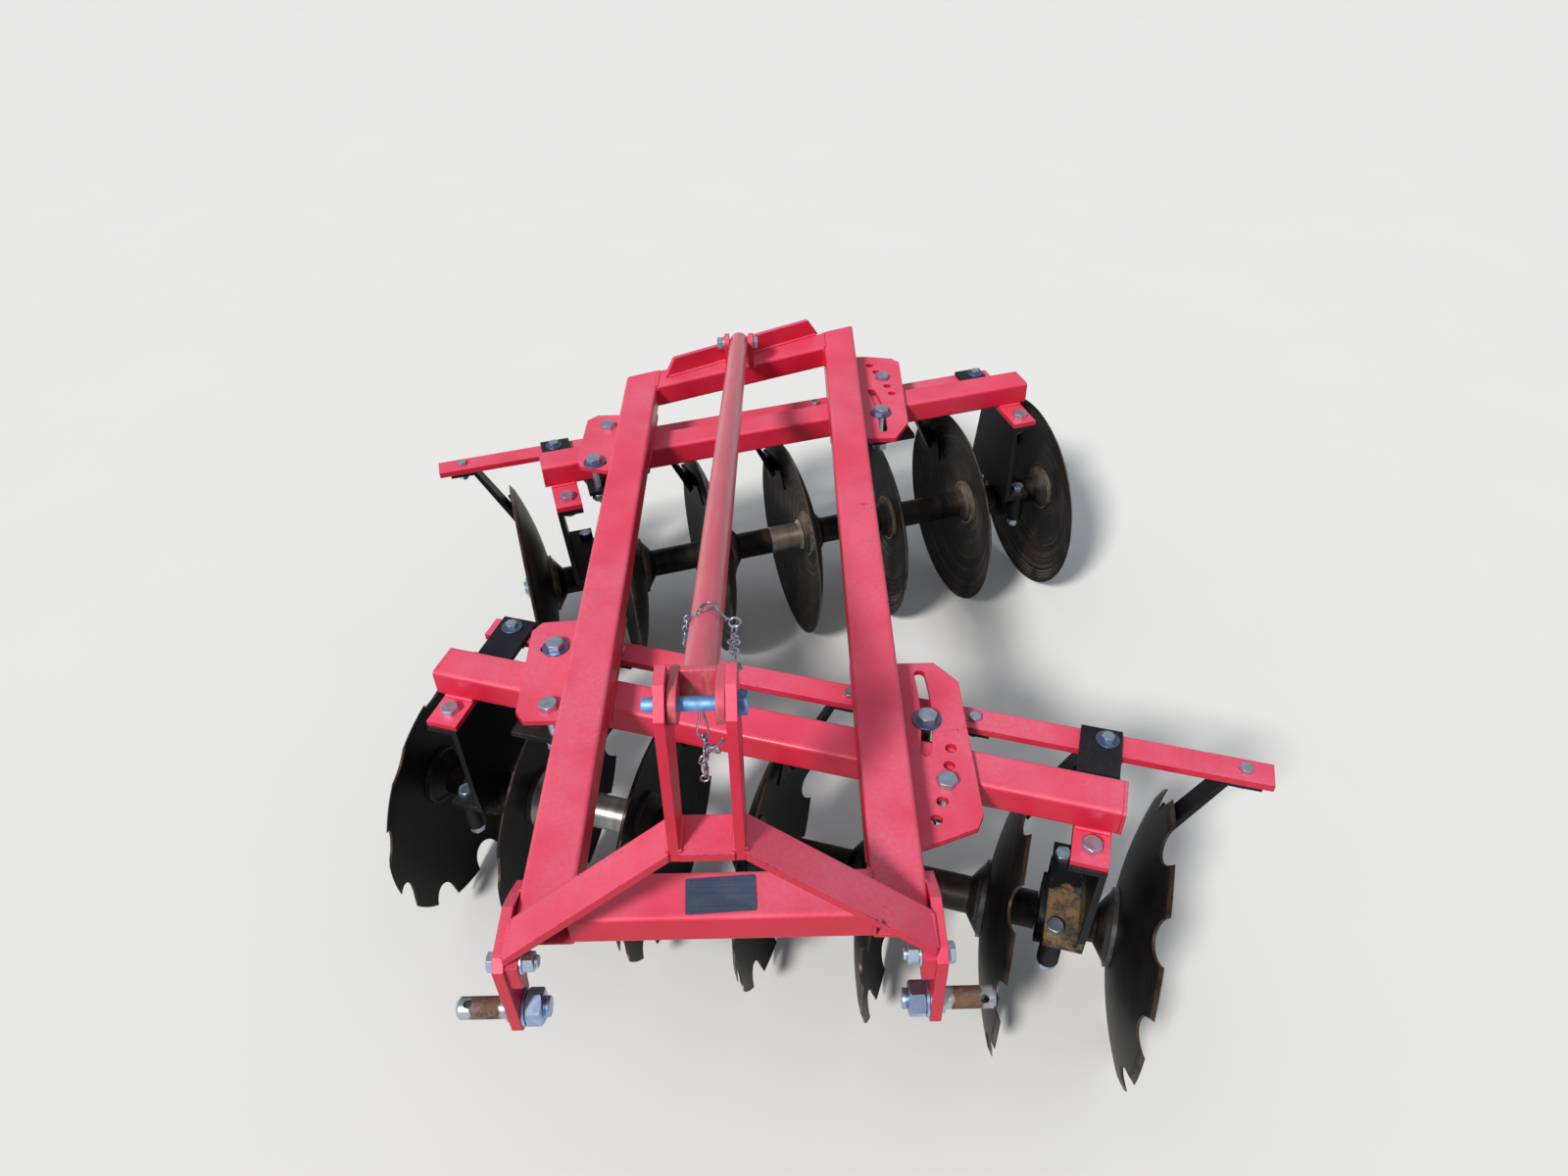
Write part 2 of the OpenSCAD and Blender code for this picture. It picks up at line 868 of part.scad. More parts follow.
module scraper_brackets() {
    color(black) {
        on_front() {
            scraper_bracket(28 - hanger_side, front_bolts[0], front_bar_drop);
            scraper_bracket(hanger_side - 2, front_bolts[disc_count - 2], front_bar_drop);
        }
        on_rear() {
            scraper_bracket(2 - hanger_side, rear_bolts[1], rear_bar_drop);
            scraper_bracket(hanger_side - 28, rear_bolts[disc_count - 1], rear_bar_drop);
        }
    }
}

module scraper_bar(from, to, bolts, drop) {
    bar_z = plate_z - drop;
    difference() {
        translate([from, bar_back - bar_w / 2, bar_z - bar_t])
        cube([to - from, bar_w, bar_t]);
        for (x = bolts)
            translate([x, bar_back, bar_z - bar_t - 1])
            cylinder(d = 13, h = bar_t + 2, $fn = 32);
    }
}

front_bolts = [for (h = front_hubs) h + rim_x + scraper_lead];
rear_bolts = [for (h = rear_hubs) h - rim_x - scraper_lead];

module front_scraper_bar() {
    color(paint)
    on_front()
    scraper_bar(front_bar_from, front_bar_to, front_bolts, front_bar_drop);
}

module rear_scraper_bar() {
    color(paint)
    on_rear()
    scraper_bar(rear_bar_from, rear_bar_to, rear_bolts, rear_bar_drop);
}

// one scraper for a disc whose hub is at x = 0 and whose hollow faces +X
module scraper(axle_y, drop) {
    foot_x = rim_x + scraper_lead;
    foot_z = plate_z - drop - bar_t;
    blade_t = 5;
    blade_w = 68;
    blade_h = 84;
    arm_w = 38;
    arm_t = 8;
    rise = 90;
    reach = dish_r - scraper_gap - blade_t;
    lift = asin(rise / reach);
    swing = asin((bar_back - axle_y) / (reach * cos(lift)));
    tip_x = dish_x - reach * cos(lift) * cos(swing);
    tip_z = axle_z + rise;
    translate([0, bar_back - arm_w / 2, 0])
    rotate([90, 0, 0])
    mirror([0, 0, 1])
    linear_extrude(arm_w)
    polygon([[foot_x - 26, foot_z], [foot_x + 26, foot_z], [foot_x + 26, foot_z - arm_t],
        [foot_x - 21, foot_z - arm_t], [tip_x + arm_t, tip_z - 8], [tip_x - 1, tip_z + 2]]);
    translate([dish_x, axle_y, axle_z])
    rotate([0, 0, -swing])
    rotate([0, lift, 0])
    translate([-reach - blade_t, -blade_w / 2, -blade_h / 2])
    cube([blade_t, blade_w, blade_h]);
}

module front_scrapers() {
    color(black)
    on_front()
    for (h = front_hubs)
        translate([h, 0, 0])
        scraper(-front_axle_ahead, front_bar_drop);
}

module rear_scrapers() {
    color(black)
    on_rear()
    for (h = rear_hubs)
        translate([h, 0, 0])
        mirror([1, 0, 0])
        scraper(-rear_axle_ahead, rear_bar_drop);
}

// dished disc around the X axis, back of its flat middle at x = 0, hollow towards +X
module disc(notches) {
    bevel_x = dish_x - sqrt(pow(dish_r + disc_t, 2) - pow(disc_d / 2 - edge_bevel, 2));
    edge_x = rim_x + disc_t - 1;
    bevel_slope = edge_bevel / (edge_x - bevel_x);
    deep = rim_x + 20;
    difference() {
        union() {
            rod(2 * flat_r, disc_t, 96);
            difference() {
                intersection() {
                    translate([dish_x, 0, 0])
                    rotate([0, 90, 0])
                    sphere(r = dish_r + disc_t, $fn = 160);
                    rod(disc_d, deep, 160);
                    // the ground bevel is one long cone, which leaves the dish's back at its inner edge
                    rotate([0, 90, 0])
                    cylinder(r1 = disc_d / 2 - edge_x * bevel_slope, r2 = disc_d / 2 + (deep - edge_x) * bevel_slope,
                        h = deep, $fn = 160);
                }
                translate([dish_x, 0, 0])
                rotate([0, 90, 0])
                sphere(r = dish_r, $fn = 160);
                translate([-1, 0, 0])
                rod(2 * flat_r - 2, 2 * disc_t, 96);
            }
        }
        translate([-1, 0, 0])
        rod(axle_d + 1, disc_t + 2);
        if (notches > 0)
            for (i = [0 : notches - 1])
                rotate([(i + 0.5) * 360 / notches + notch_turn, 0, 0])
                translate([0, 0, -disc_d / 2 - 4])
                rod(2 * notch_r, rim_x + 20, 48);
    }
}

module front_discs() {
    color(steel)
    on_front()
    for (h = front_hubs)
        translate([h, -front_axle_ahead, axle_z])
        disc(notch_count);
}

module rear_discs() {
    color(steel)
    on_rear()
    for (h = rear_hubs)
        translate([h, -rear_axle_ahead, axle_z])
        mirror([1, 0, 0])
        disc(0);
}

module axle(hubs) {
    rod_from = hubs[0] - axle_over;
    translate([rod_from, 0, axle_z])
    rod(axle_d, hubs[disc_count - 1] - hubs[0] + 2 * axle_over);
}

module front_axle() {
    color(steel)
    on_front()
    translate([0, -front_axle_ahead, 0])
    axle(front_hubs);
}

module rear_axle() {
    color(steel)
    on_rear()
    translate([0, -rear_axle_ahead, 0])
    axle(rear_hubs);
}

// bell end facing -X at x = 0
module bell(d) {
    rod(d, 7, 64);
    translate([7, 0, 0])
    rotate([0, 90, 0])
    cylinder(d1 = d - 8, d2 = spool_d, h = 20, $fn = 64);
}

// spool on the axle between x = a and x = b, with a bell of the given diameter at each end
module spool(a, b, bell_a, bell_b) {
    difference() {
        union() {
            translate([a, 0, 0])
            rod(spool_d, b - a, 64);
            if (bell_a > 0)
                translate([a, 0, 0])
                bell(bell_a);
            if (bell_b > 0)
                translate([b, 0, 0])
                mirror([1, 0, 0])
                bell(bell_b);
        }
        translate([a - 1, 0, 0])
        rod(axle_d + 0.4, b - a + 2);
    }
}

// journal sleeve through a bearing housing, with the spools on both sides of it
module journal_spool(a, b, x, bell_a, bell_b) {
    near = x - housing_len / 2 - 3;
    far = x + housing_len / 2 + 3;
    spool(a, near, bell_a, 0);
    spool(far, b, 0, bell_b);
    difference() {
        translate([near - 1, 0, 0])
        rod(journal_d, far - near + 2, 64);
        translate([near - 2, 0, 0])
        rod(axle_d + 0.4, far - near + 4);
    }
}

// all the spools of a gang whose hollows face +X, with its end washers
module spools(hubs) {
    for (i = [0 : disc_count - 2]) {
        a = hubs[i] + disc_t;
        b = hubs[i + 1];
        if (i == 0 || i == disc_count - 2)
            journal_spool(a, b, hubs[i] + bearing_lead, bell_d, back_bell_d);
        else
            spool(a, b, bell_d, back_bell_d);
    }
    spool(hubs[disc_count - 1] + disc_t, hubs[disc_count - 1] + disc_t + 30, bell_d, 0);
    spool(hubs[0] - 30, hubs[0], 0, back_bell_d);
}

module front_spools() {
    color(black)
    on_front()
    translate([0, -front_axle_ahead, axle_z])
    spools(front_hubs);
}

module rear_spools() {
    color(black)
    on_rear()
    translate([0, -rear_axle_ahead, axle_z])
    mirror([1, 0, 0])
    spools([for (i = [1 : disc_count]) -rear_hubs[disc_count - i]]);
}

side_rail_left();
side_rail_right();
front_crossbeam();
rear_crossbeam();
rear_upstand();
hitch_bracket_left();
hitch_bracket_right();
lower_hitch_pin_left();
lower_hitch_pin_right();
hitch_strap_left();
hitch_strap_right();
mast_base_plate();
mast_left();
mast_right();
top_link_bolt();
brace_fork();
brace_tube();
brace_clevis();
brace_rear_bolt();
angle_plate_front_left();
angle_plate_front_right();
angle_plate_rear_left();
angle_plate_rear_right();
clamp_plates_front();
clamp_plates_rear();
front_gang_beam();
rear_gang_beam();
beam_end_caps();
front_hanger_tabs();
rear_hanger_tabs();
hanger_front_left();
hanger_front_right();
hanger_rear_left();
hanger_rear_right();
bearing_front_left();
bearing_front_right();
bearing_rear_left();
bearing_rear_right();
scraper_brackets();
front_scraper_bar();
rear_scraper_bar();
front_scrapers();
rear_scrapers();
front_axle();
front_discs();
front_spools();
rear_axle();
rear_discs();
rear_spools();
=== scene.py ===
"""Dresses a mounted offset disc harrow: enamel, dust, bare steel, bolts, welds, clips and chain.

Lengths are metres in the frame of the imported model, with the ground at z = 0. Sizes that belong
to a gang are counted along its beam (x), behind its beam (y) and up from the ground (z).
"""

from __future__ import annotations

import logging
import math
from contextlib import contextmanager
from dataclasses import dataclass
from enum import Enum
from typing import Callable, Iterator, Sequence

import bmesh
import bpy
from mathutils import Matrix, Vector


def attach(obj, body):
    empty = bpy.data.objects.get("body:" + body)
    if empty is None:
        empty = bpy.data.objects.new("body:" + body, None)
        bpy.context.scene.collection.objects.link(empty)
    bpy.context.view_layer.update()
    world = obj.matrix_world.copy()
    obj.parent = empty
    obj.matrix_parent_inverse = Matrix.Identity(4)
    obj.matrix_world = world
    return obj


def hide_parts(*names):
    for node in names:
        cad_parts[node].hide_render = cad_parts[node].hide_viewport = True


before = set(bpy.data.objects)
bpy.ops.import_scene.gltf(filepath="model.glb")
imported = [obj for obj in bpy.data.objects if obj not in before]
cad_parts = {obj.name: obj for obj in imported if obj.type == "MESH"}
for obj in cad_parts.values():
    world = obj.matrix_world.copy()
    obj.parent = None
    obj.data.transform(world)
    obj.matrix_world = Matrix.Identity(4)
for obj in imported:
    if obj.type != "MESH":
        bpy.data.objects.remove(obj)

LOG = logging.getLogger("harrow")
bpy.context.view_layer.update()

Colour = tuple[float, float, float]
Point = tuple[float, float, float]
Shades = tuple[Colour, Colour]
Piece = bpy.types.Object
Material = bpy.types.Material
Tree = bpy.types.NodeTree
Node = bpy.types.Node
Socket = bpy.types.NodeSocket
Value = float | Socket
Run = tuple[Vector, Vector]

# the middle of the frame's front edge, on the ground
HITCH_X = -0.072
HITCH_Y = -0.785071
# counted from there: half the frame's width, the lower pins' axis (behind, above) and the mast's bolt
HALF_W = 0.2555
PIN_AXIS = (-0.042, 0.470)
MAST_BOLT = (-0.006, 0.030, 0.936)


class Body(Enum):
    """The CAD bodies that a piece can ride on."""

    FRAME = "frame"
    FRONT = "front_gang"
    REAR = "rear_gang"


class Facing(Enum):
    """The side to which a bolt's head looks, in degrees from upright."""

    RIGHT = 90.0
    LEFT = -90.0

    def turn(self) -> Matrix:
        """Returns the turn that takes an upright bolt to this facing."""
        return Matrix.Rotation(math.radians(self.value), 4, "Y")


class Slot(Enum):
    """Names of material slots."""

    RED = "red_paint"
    BRACE = "brace_paint"
    BLACK = "black_paint"
    ZINC = "zinc"


@dataclass(frozen=True)
class Gang:
    """One disc gang: where its beam's middle is and how it is turned.

    Args:
        body: the body of its axle.
        mid: the beam's middle, in plan.
        angle: its turn from square, in degrees.
        ahead: how far its axle lies ahead of the beam's centre line.
        first_hub: the leftmost disc's hub plane.
        hollow: 1 if the discs' hollows face the beam's right end, else -1.
        bearings: the bearing housings' middles.
        bar_top: height of the scraper bar's top.
    """

    body: Body
    mid: tuple[float, float]
    angle: float
    ahead: float
    first_hub: float
    hollow: int
    bearings: tuple[float, float]
    bar_top: float

    def turn(self) -> Matrix:
        """Returns the beam's turn about the vertical."""
        return Matrix.Rotation(math.radians(self.angle), 4, "Z")

    def place(self, x: float, y: float, z: float) -> Vector:
        """Returns the model's point for a point of the gang."""
        return Vector((*self.mid, 0.0)) + self.turn() @ Vector((x, y, z))

    def axis(self) -> Vector:
        """Returns the direction of the beam's right end."""
        return self.turn() @ Vector((1.0, 0.0, 0.0))


# the axles' height, and how far the last disc stands from the first
AXLE_Z = 0.230
HUB_SPAN = 1.2
FRONT = Gang(Body.FRONT, (-0.031551, -0.406107), -16.9, 0.008, -0.62328, 1, (-0.5153, 0.4847), 0.504)
REAR = Gang(Body.REAR, (0.034808, 0.496808), 15.9, 0.028, -0.57072, -1, (-0.4787, 0.5213), 0.480)


def at_hitch(x: float, y: float, z: float) -> Vector:
    """Returns the model's point for one counted from the middle of the frame's front edge."""
    return Vector((HITCH_X + x, HITCH_Y + y, z))


# modelling


def clear_selection() -> None:
    """Deselects every object, so that an operator acts on the new piece alone."""
    if bpy.context.object and bpy.context.object.mode != "OBJECT":
        bpy.ops.object.mode_set(mode="OBJECT")
    bpy.ops.object.select_all(action="DESELECT")


def activate(piece: Piece) -> None:
    """Selects a piece alone and makes it the active one.

    Args:
        piece: the piece.
    """
    clear_selection()
    piece.select_set(True)
    bpy.context.view_layer.objects.active = piece


@contextmanager
def editing(piece: Piece, kind: str = "FACE") -> Iterator[None]:
    """Holds a piece in edit mode.

    Args:
        piece: the mesh object.
        kind: what is selected there, VERT, EDGE or FACE.

    Yields:
        nothing, while the piece is in edit mode.
    """
    activate(piece)
    bpy.ops.object.mode_set(mode="EDIT")
    bpy.ops.mesh.select_mode(type=kind)
    yield
    bpy.ops.object.mode_set(mode="OBJECT")


def pick_faces(piece: Piece, test: Callable[[Vector, Vector], bool]) -> None:
    """Selects the faces whose middle and normal pass a test, in edit mode.

    Args:
        piece: the piece.
        test: tells from a face's middle and normal whether it is selected.
    """
    mesh = bmesh.from_edit_mesh(piece.data)
    for face in mesh.faces:
        face.select_set(False)
    for face in mesh.faces:
        if test(face.calc_center_median(), face.normal):
            face.select_set(True)
    bmesh.update_edit_mesh(piece.data)


def pick_verts(piece: Piece, test: Callable[[Vector], bool]) -> None:
    """Selects the vertices whose place passes a test, in edit mode.

    Args:
        piece: the piece.
        test: tells from a vertex's place whether it is selected.
    """
    mesh = bmesh.from_edit_mesh(piece.data)
    for vert in mesh.verts:
        vert.select_set(False)
    for vert in mesh.verts:
        if test(vert.co):
            vert.select_set(True)
    mesh.select_flush_mode()
    bmesh.update_edit_mesh(piece.data)


def tidy_mesh(merge: float = 1e-5) -> None:
    """Merges doubles and points the faces outwards, in edit mode.

    Args:
        merge: distance up to which vertices are merged.
    """
    bpy.ops.mesh.select_all(action="SELECT")
    bpy.ops.mesh.remove_doubles(threshold=merge)
    bpy.ops.mesh.normals_make_consistent(inside=False)


def named(name: str) -> Piece:
    """Returns the new active object under its name, with its place in its mesh.

    Args:
        name: the name.

    Returns:
        the object.
    """
    piece = bpy.context.object
    piece.name = name
    piece.data.name = name
    bpy.ops.object.transform_apply(location=True, rotation=True, scale=True)
    return piece


def turned_piece(name: str, profile: Sequence[tuple[float, float]], steps: int = 24) -> Piece:
    """Returns a closed piece turned about the Z axis.

    Args:
        name: the piece's name.
        profile: radius and height of each point, from axis to axis or round a ring.
        steps: faces around the turn.

    Returns:
        the piece.
    """
    clear_selection()
    bpy.ops.mesh.primitive_plane_add(size=0.001)
    piece = named(name)
    radius, height = profile[0]
    with editing(piece, "VERT"):
        bpy.ops.mesh.select_all(action="SELECT")
        bpy.ops.mesh.merge(type="CENTER")
        bpy.ops.transform.translate(value=(radius, 0.0, height))
        for next_radius, next_height in profile[1:]:
            step = (next_radius - radius, 0.0, next_height - height)
            bpy.ops.mesh.extrude_region_move(TRANSFORM_OT_translate={"value": step})
            radius, height = next_radius, next_height
        bpy.ops.mesh.select_all(action="SELECT")
        bpy.ops.mesh.spin(steps=steps, angle=math.tau, center=(0, 0, 0), axis=(0, 0, 1))
        tidy_mesh()
    return piece


def smooth(piece: Piece, degrees: float = 32.0) -> Piece:
    """Shades a piece smooth up to an angle, and returns it.

    Args:
        piece: the piece.
        degrees: the angle past which an edge stays sharp.

    Returns:
        the same piece.
    """
    activate(piece)
    bpy.ops.object.shade_smooth_by_angle(angle=math.radians(degrees))
    return piece


def apply_modifiers(piece: Piece) -> None:
    """Applies every modifier of a piece, in order.

    Args:
        piece: the piece.
    """
    activate(piece)
    for modifier in list(piece.modifiers):
        bpy.ops.object.modifier_apply(modifier=modifier.name)


def copied(source: Piece, name: str, place: Matrix) -> Piece:
    """Returns a copy with its own mesh, moved by a matrix, with its object at the origin.

    Args:
        source: what is copied.
        name: the copy's name.
        place: the matrix that moves its mesh.

    Returns:
        the copy.
    """
    piece = source.copy()
    piece.data = source.data.copy()
    piece.name = name
    piece.data.name = name
    bpy.context.collection.objects.link(piece)
    piece.data.transform(place)
    return piece


def joined(name: str, parts: Sequence[Piece]) -> Piece:
    """Returns the parts joined into one piece.

    Args:
        name: the whole's name.
        parts: the parts, the first of which takes in the others.

    Returns:
        the whole.
    """
    clear_selection()
    for part in parts:
        part.select_set(True)
    bpy.context.view_layer.objects.active = parts[0]
    if len(parts) > 1:
        bpy.ops.object.join()
    piece = bpy.context.object
    piece.name = name
    piece.data.name = name
    return piece


def removed(pieces: Sequence[Piece]) -> None:
    """Deletes pieces that were only patterns for copies."""
    for piece in pieces:
        bpy.data.objects.remove(piece, do_unlink=True)


def cut_with(piece: Piece, tool: Piece, operation: str) -> None:
    """Cuts a piece with a tool by a boolean operation, and deletes the tool.

    Args:
        piece: the piece.
        tool: the cutting piece.
        operation: INTERSECT or DIFFERENCE.
    """
    cut = piece.modifiers.new("cut", "BOOLEAN")
    cut.operation = operation
    cut.solver = "EXACT"
    cut.object = tool
    apply_modifiers(piece)
    removed([tool])


def wire(name: str, route: Sequence[Vector], radius: float, closed: bool = False) -> Piece:
    """Returns a bent wire along a route.

    Args:
        name: the piece's name.
        route: the points that its middle passes through.
        radius: the wire's radius.
        closed: whether its ends meet.

    Returns:
        the wire.
    """
    clear_selection()
    bpy.ops.curve.primitive_nurbs_path_add()
    line = bpy.context.object
    line.data.splines.clear()
    spline = line.data.splines.new("POLY" if closed else "NURBS")
    spline.points.add(len(route) - 1)
    for point, place in zip(spline.points, route):
        point.co = (*place, 1.0)
    spline.use_cyclic_u = closed
    if not closed:
        spline.order_u = 3
        spline.use_endpoint_u = True
        spline.resolution_u = 3
    line.data.bevel_depth = radius
    line.data.bevel_resolution = 2
    line.data.use_fill_caps = True
    bpy.ops.object.convert(target="MESH")
    piece = named(name)
    with editing(piece):
        tidy_mesh(1e-6)
    return smooth(piece, 60.0)


def dress(piece: Piece, body: Body, finish: str) -> None:
    """Gives a finished piece its material and body, and reports it.

    Args:
        piece: the piece.
        body: the body that it rides on.
        finish: its material's name.
    """
    piece.data.materials.clear()
    piece.data.materials.append(finished(finish))
    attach(piece, body.value)
    LOG.info("%s: %d faces on %s", piece.name, len(piece.data.polygons), body.value)


# shader graphs


# the colour sockets of a Mix node, whose names repeat for each kind of value
MIX_FIRST = 6
MIX_SECOND = 7
MIX_RESULT = 2


class Graph:
    """Short calls that add nodes to one node tree."""

    def __init__(self, tree: Tree) -> None:
        """Keeps the tree."""
        self.tree = tree

    def node(self, kind: str, **settings: object) -> Node:
        """Returns a new node of a kind with its settings.

        Args:
            kind: the node's type, without its prefix.
            **settings: values of the node's own properties.

        Returns:
            the node.
        """
        made = self.tree.nodes.new("ShaderNode" + kind)
        for key, value in settings.items():
            setattr(made, key, value)
        return made

    def feed(self, socket: Socket, value: object) -> None:
        """Links a socket's source, or sets its own value.

        Args:
            socket: the socket.
            value: its source, number or colour.
        """
        if isinstance(value, Socket):
            self.tree.links.new(value, socket)
        elif isinstance(value, tuple) and len(value) == 3 and socket.type == "RGBA":
            socket.default_value = (*value, 1.0)
        else:
            socket.default_value = value

    def math(self, operation: str, first: Value, second: Value = 0.0, third: Value = 0.0) -> Socket:
        """Returns the result of a sum on numbers.

        Args:
            operation: the operation's name.
            first: the first number.
            second: the second number.
            third: the third number.

        Returns:
            the result.
        """
        made = self.node("Math", operation=operation)
        for socket, value in zip(made.inputs, (first, second, third)):
            self.feed(socket, value)
        return made.outputs[0]

    def times(self, first: Value, second: Value) -> Socket:
        """Returns the product of two numbers."""
        return self.math("MULTIPLY", first, second)

    def scaled(self, value: Value, by: Value, plus: Value) -> Socket:
        """Returns a number times another, plus a third."""
        return self.math("MULTIPLY_ADD", value, by, plus)

    def vector(self, operation: str, first: object, second: object = (0.0, 0.0, 0.0)) -> Node:
        """Returns the node of a sum on vectors.

        Args:
            operation: the operation's name.
            first: the first vector.
            second: the second vector.

        Returns:
            the node.
        """
        made = self.node("VectorMath", operation=operation)
        self.feed(made.inputs[0], first)
        self.feed(made.inputs[1], second)
        return made

    def span(
        self, value: Value, low: float, high: float, to_low: Value = 0.0, to_high: Value = 1.0
    ) -> Socket:
        """Returns a value eased from one range to another and held there.

        Args:
            value: the value.
            low: where its range starts.
            high: where its range ends.
            to_low: what the start becomes.
            to_high: what the end becomes.

        Returns:
            the eased value.
        """
        made = self.node("MapRange", interpolation_type="SMOOTHSTEP")
        for socket, item in zip(made.inputs, (value, low, high, to_low, to_high)):
            self.feed(socket, item)
        return made.outputs[0]

    def between(self, value: Value, start: float, end: float, soft: float) -> Socket:
        """Returns 1 where a value lies between two others, and 0 beyond them.

        Args:
            value: the value.
            start: where the mask starts to rise.
            end: where it has come down to 0.
            soft: the length over which it rises and falls.
        """
        risen = self.span(value, start, start + soft)
        return self.times(risen, self.span(value, end, end - soft))

    def noise(self, place: Socket, scale: Value, detail: float = 3.0, rough: float = 0.55) -> Socket:
        """Returns noise at a place.

        Args:
            place: where it is read.
            scale: how fine it is.
            detail: how many finer layers it has.
            rough: how strong those layers are.

        Returns:
            the noise, between 0 and 1.
        """
        made = self.node("TexNoise")
        self.feed(made.inputs["Vector"], place)
        self.feed(made.inputs["Scale"], scale)
        made.inputs["Detail"].default_value = detail
        made.inputs["Roughness"].default_value = rough
        return made.outputs["Fac"]

    def mix(self, share: Value, first: object, second: object) -> Socket:
        """Returns a mix of two colours.

        Args:
            share: the second colour's share.
            first: the first colour.
            second: the second colour.

        Returns:
            the mixed colour.
        """
        made = self.node("Mix", data_type="RGBA")
        self.feed(made.inputs[0], share)
        self.feed(made.inputs[MIX_FIRST], first)
        self.feed(made.inputs[MIX_SECOND], second)
        return made.outputs[MIX_RESULT]

    def place(self) -> Socket:
        """Returns the surface's Object coordinates."""
        return self.node("TexCoord").outputs["Object"]

    def stretched(self, scale: Point) -> Socket:
        """Returns the surface's Object coordinates, scaled along each axis.

        Args:
            scale: the scale along each axis.

        Returns:
            the coordinates.
        """
        made = self.node("Mapping")
        made.inputs["Scale"].default_value = scale
        self.feed(made.inputs["Vector"], self.place())
        return made.outputs[0]

    def group(self, tree: Tree, **values: object) -> Node:
        """Returns a shared group with its own values.

        Args:
            tree: the group.
            **values: values or sources of its inputs.

        Returns:
            the node.
        """
        made = self.node("Group", node_tree=tree)
        for key, value in values.items():
            self.feed(made.inputs[key.replace("_", " ")], value)
        return made


def shared_group(
    name: str, inputs: dict[str, float], outputs: dict[str, str]
) -> tuple[Graph, Node, Node]:
    """Returns a new shader group's graph, its input node and its output node.

    Args:
        name: the group's name.
        inputs: the number sockets that go in, with their values.
        outputs: the sockets that come out, with their kinds.

    Returns:
        the graph, the input node and the output node.
    """
    tree = bpy.data.node_groups.new(name, "ShaderNodeTree")
    for key, value in inputs.items():
        made = tree.interface.new_socket(name=key, in_out="INPUT", socket_type="NodeSocketFloat")
        made.default_value = value
    for key, kind in outputs.items():
        tree.interface.new_socket(name=key, in_out="OUTPUT", socket_type="NodeSocket" + kind)
    return Graph(tree), tree.nodes.new("NodeGroupInput"), tree.nodes.new("NodeGroupOutput")


class Effects:
    """The effects that several finishes share, each built once."""

    def __init__(self) -> None:
        """Builds every group."""
        self.dust = self._dust()
        self.edges = self._edges()
        self.chips = self._chips()
        self.grain = self._grain()

    @staticmethod
    def _dust() -> Tree:
        """Returns dry dust that lies on upward faces in patches, and the upward mask that the enamels also
        use for their painted top light.

        Returns:
            the group.
        """
        graph, given, result = shared_group(
            "dust", {"Amount": 0.5, "Patch": 7.0}, {"Mask": "Float", "Upward": "Float"}
        )
        coords = graph.node("TexCoord")
        split = graph.node("SeparateXYZ")
        graph.feed(split.inputs[0], coords.outputs["Normal"])
        upward = graph.span(split.outputs["Z"], 0.1, 0.95)
        patch = graph.span(graph.noise(coords.outputs["Object"], given.outputs["Patch"]), 0.36, 0.70)
        fine = graph.span(graph.noise(coords.outputs["Object"], 160.0, 6.0, 0.7), 0.35, 0.68, 0.35, 1.0)
        held = graph.scaled(upward, 0.9, 0.1)
        lying = graph.times(graph.times(held, patch), fine)
        graph.feed(result.inputs["Mask"], graph.times(lying, given.outputs["Amount"]))
        graph.feed(result.inputs["Upward"], upward)
        return graph.tree

    @staticmethod
    def _edges() -> Tree:
        """Returns a mask of sharp edges, and a normal that rounds them.

        Returns:
            the group.
        """
        graph, given, result = shared_group(
            "rounded_edges", {"Radius": 0.002}, {"Mask": "Float", "Normal": "Vector"}
        )
        bevel = graph.node("Bevel", samples=4)
        graph.feed(bevel.inputs["Radius"], given.outputs["Radius"])
        flat = graph.node("NewGeometry").outputs["Normal"]
        along = graph.vector("DOT_PRODUCT", bevel.outputs[0], flat).outputs["Value"]
        graph.feed(result.inputs["Mask"], graph.span(along, 0.99, 0.86, 0.0, 1.0))
        graph.feed(result.inputs["Normal"], bevel.outputs[0])
        return graph.tree

    @staticmethod
    def _chips() -> Tree:
        """Returns small chips, most of them on edges.

        Returns:
            the group.
        """
        graph, given, result = shared_group("chips", {"Amount": 0.5, "Edge": 0.0}, {"Mask": "Float"})
        place = graph.place()
        fine = graph.noise(place, 210.0, 3.0, 0.6)
        broad = graph.noise(place, 14.0, 2.0)
        both = graph.scaled(broad, 0.45, graph.times(fine, 0.55))
        edge = graph.times(given.outputs["Edge"], 0.13)
        pushed = graph.scaled(given.outputs["Amount"], 0.05, graph.math("ADD", both, edge))
        graph.feed(result.inputs["Mask"], graph.span(pushed, 0.70, 0.73))
        return graph.tree

    @staticmethod
    def _grain() -> Tree:
        """Returns the height of a sprayed or rolled skin, and slow colour change.

        Returns:
            the group.
        """
        graph, given, result = shared_group(
            "skin", {"Fine": 420.0, "Broad": 9.0}, {"Height": "Float", "Shade": "Float"}
        )
        place = graph.place()
        fine = graph.noise(place, given.outputs["Fine"], 2.0, 0.5)
        broad = graph.noise(place, given.outputs["Broad"], 3.0, 0.5)
        graph.feed(result.inputs["Height"], graph.scaled(broad, 1.6, fine))
        graph.feed(result.inputs["Shade"], graph.span(broad, 0.3, 0.7))
        return graph.tree


